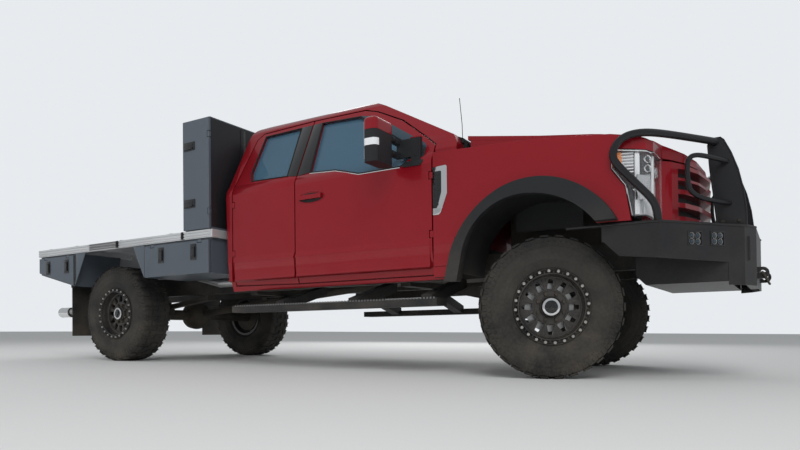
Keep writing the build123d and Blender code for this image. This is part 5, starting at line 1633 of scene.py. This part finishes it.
@dataclass
class Studio:
    """Floor, lights and the photograph's camera."""

    camera_at: Point = (3.46429, -5.02542, 0.31386)
    camera_turn: Point = (1.574480, -0.002806, 0.541375)
    lens: float = 29.398
    shift_up: float = 0.1274
    floor_colour: Colour = (0.80, 0.80, 0.79)
    backdrop: Colour = (0.80, 0.83, 0.86)
    ambient: float = 0.45
    glossy_level: float = 0.50

    def build(self) -> None:
        """Make the whole studio."""
        self._camera()
        self._floor()
        self._lights()
        bpy.context.scene.view_settings.view_transform = "Standard"

    def _camera(self) -> None:
        """Place the camera where the photograph was taken."""
        data = bpy.data.cameras.new("photo_camera")
        data.sensor_fit = "HORIZONTAL"
        data.sensor_width = 36
        data.lens = self.lens
        data.shift_y = self.shift_up
        data.clip_end = 200
        camera = bpy.data.objects.new("photo_camera", data)
        camera.location = self.camera_at
        camera.rotation_euler = Euler(self.camera_turn, "XYZ")
        bpy.context.scene.collection.objects.link(camera)
        bpy.context.scene.camera = camera

    def _floor(self) -> None:
        """A large pale floor."""
        mesh = bpy.data.meshes.new("floor")
        bm = bmesh.new()
        bmesh.ops.create_grid(bm, x_segments=1, y_segments=1, size=60)
        bm.to_mesh(mesh)
        bm.free()
        floor = bpy.data.objects.new("floor", mesh)
        bpy.context.scene.collection.objects.link(floor)
        material = bpy.data.materials.new("studio_floor")
        material.use_nodes = True
        shader = material.node_tree.nodes["Principled BSDF"]
        shader.inputs["Base Color"].default_value = (*self.floor_colour, 1)
        shader.inputs["Roughness"].default_value = 0.8
        mesh.materials.append(material)

    def _lights(self) -> None:
        """Soft area lamps and an even pale world."""
        for name, at_point, aim, size, power in (
            ("key", (5.5, -7.5, 6.5), (0, -0.5, 0.9), 5, 430),
            ("fill", (-7, -6, 4), (-1, 0, 0.8), 6, 180),
            ("back", (-3, 8, 5), (0, 0, 1), 6, 260),
        ):
            data = bpy.data.lights.new(name, "AREA")
            data.size = size
            data.energy = power
            lamp = bpy.data.objects.new(name, data)
            lamp.visible_glossy = name == "back"
            lamp.location = at_point
            lamp.rotation_euler = (Vector(aim) - Vector(at_point)).to_track_quat("-Z", "Y").to_euler()
            bpy.context.scene.collection.objects.link(lamp)
        world = bpy.data.worlds.new("studio_world")
        bpy.context.scene.world = world
        world.use_nodes = True
        tree = world.node_tree
        paths = tree.nodes.new("ShaderNodeLightPath")
        shown = maths(tree, "MAXIMUM", paths.outputs["Is Camera Ray"], paths.outputs["Is Transmission Ray"])
        glossy = maths(tree, "MULTIPLY", paths.outputs["Is Glossy Ray"], self.glossy_level)
        level = maths(tree, "MAXIMUM", maths(tree, "MAXIMUM", shown, glossy), self.ambient)
        background = tree.nodes["Background"]
        background.inputs["Color"].default_value = (*self.backdrop, 1)
        link(tree, level, background.inputs["Strength"])


ROUNDED_NODES = (
    "cab_shell", "fenders", "hood", "door_front_left", "door_front_right", "door_rear_left",
    "door_rear_right", "cabinet", "cabinet_door_left", "cabinet_door_right", "bumper", "flares",
    "underbody_boxes", "grille", "box_door_front_left", "box_door_front_right", "box_door_rear_left",
    "box_door_rear_right", "mirror_left", "mirror_right", "side_steps", "mud_flaps", "deck",
    "rim_front_left", "rim_front_right", "rim_rear_left", "rim_rear_right",
)


def round_edges(node: str, width: float = 0.0035) -> None:
    """Soften the sharp edges of a CAD node with live modifiers.

    Args:
        node: The CAD node.
        width: Width of each softened edge in metres.
    """
    solid = frame["nodes"][node]
    weld = solid.modifiers.new("merge", "WELD")
    weld.merge_threshold = 0.00005
    bevel = solid.modifiers.new("soft_edges", "BEVEL")
    bevel.width = width
    bevel.segments = 2
    bevel.limit_method = "ANGLE"
    bevel.angle_limit = math.radians(40.0)
    bevel.use_clamp_overlap = True
    bevel.harden_normals = True


def main() -> None:
    """Build the visual model."""
    Studio().build()
    slots = {row["node"]: row["material_slot"] for row in frame["record"]["subparts"]}
    SHOP.dress_nodes({**slots, "bumper_lamps": "gloss_black"})
    SHOP.shade_underside("fenders", 1.40, 0.80)
    SHOP.shade_underside("cab_shell", 0.93, 0.88)
    for node in ROUNDED_NODES:
        round_edges(node)
    assemblies = [WheelTrim(name) for name in WHEELS]
    assemblies += [CabSides(), CabFront(), Headlamps(), NoseTrim()]
    assemblies += [DeckTrim(), RunningGear(), Mirrors(), Seating()]
    for assembly in assemblies:
        assembly.build()
        log.info("built %s", type(assembly).__name__)


if __name__ == "__main__":
    main()
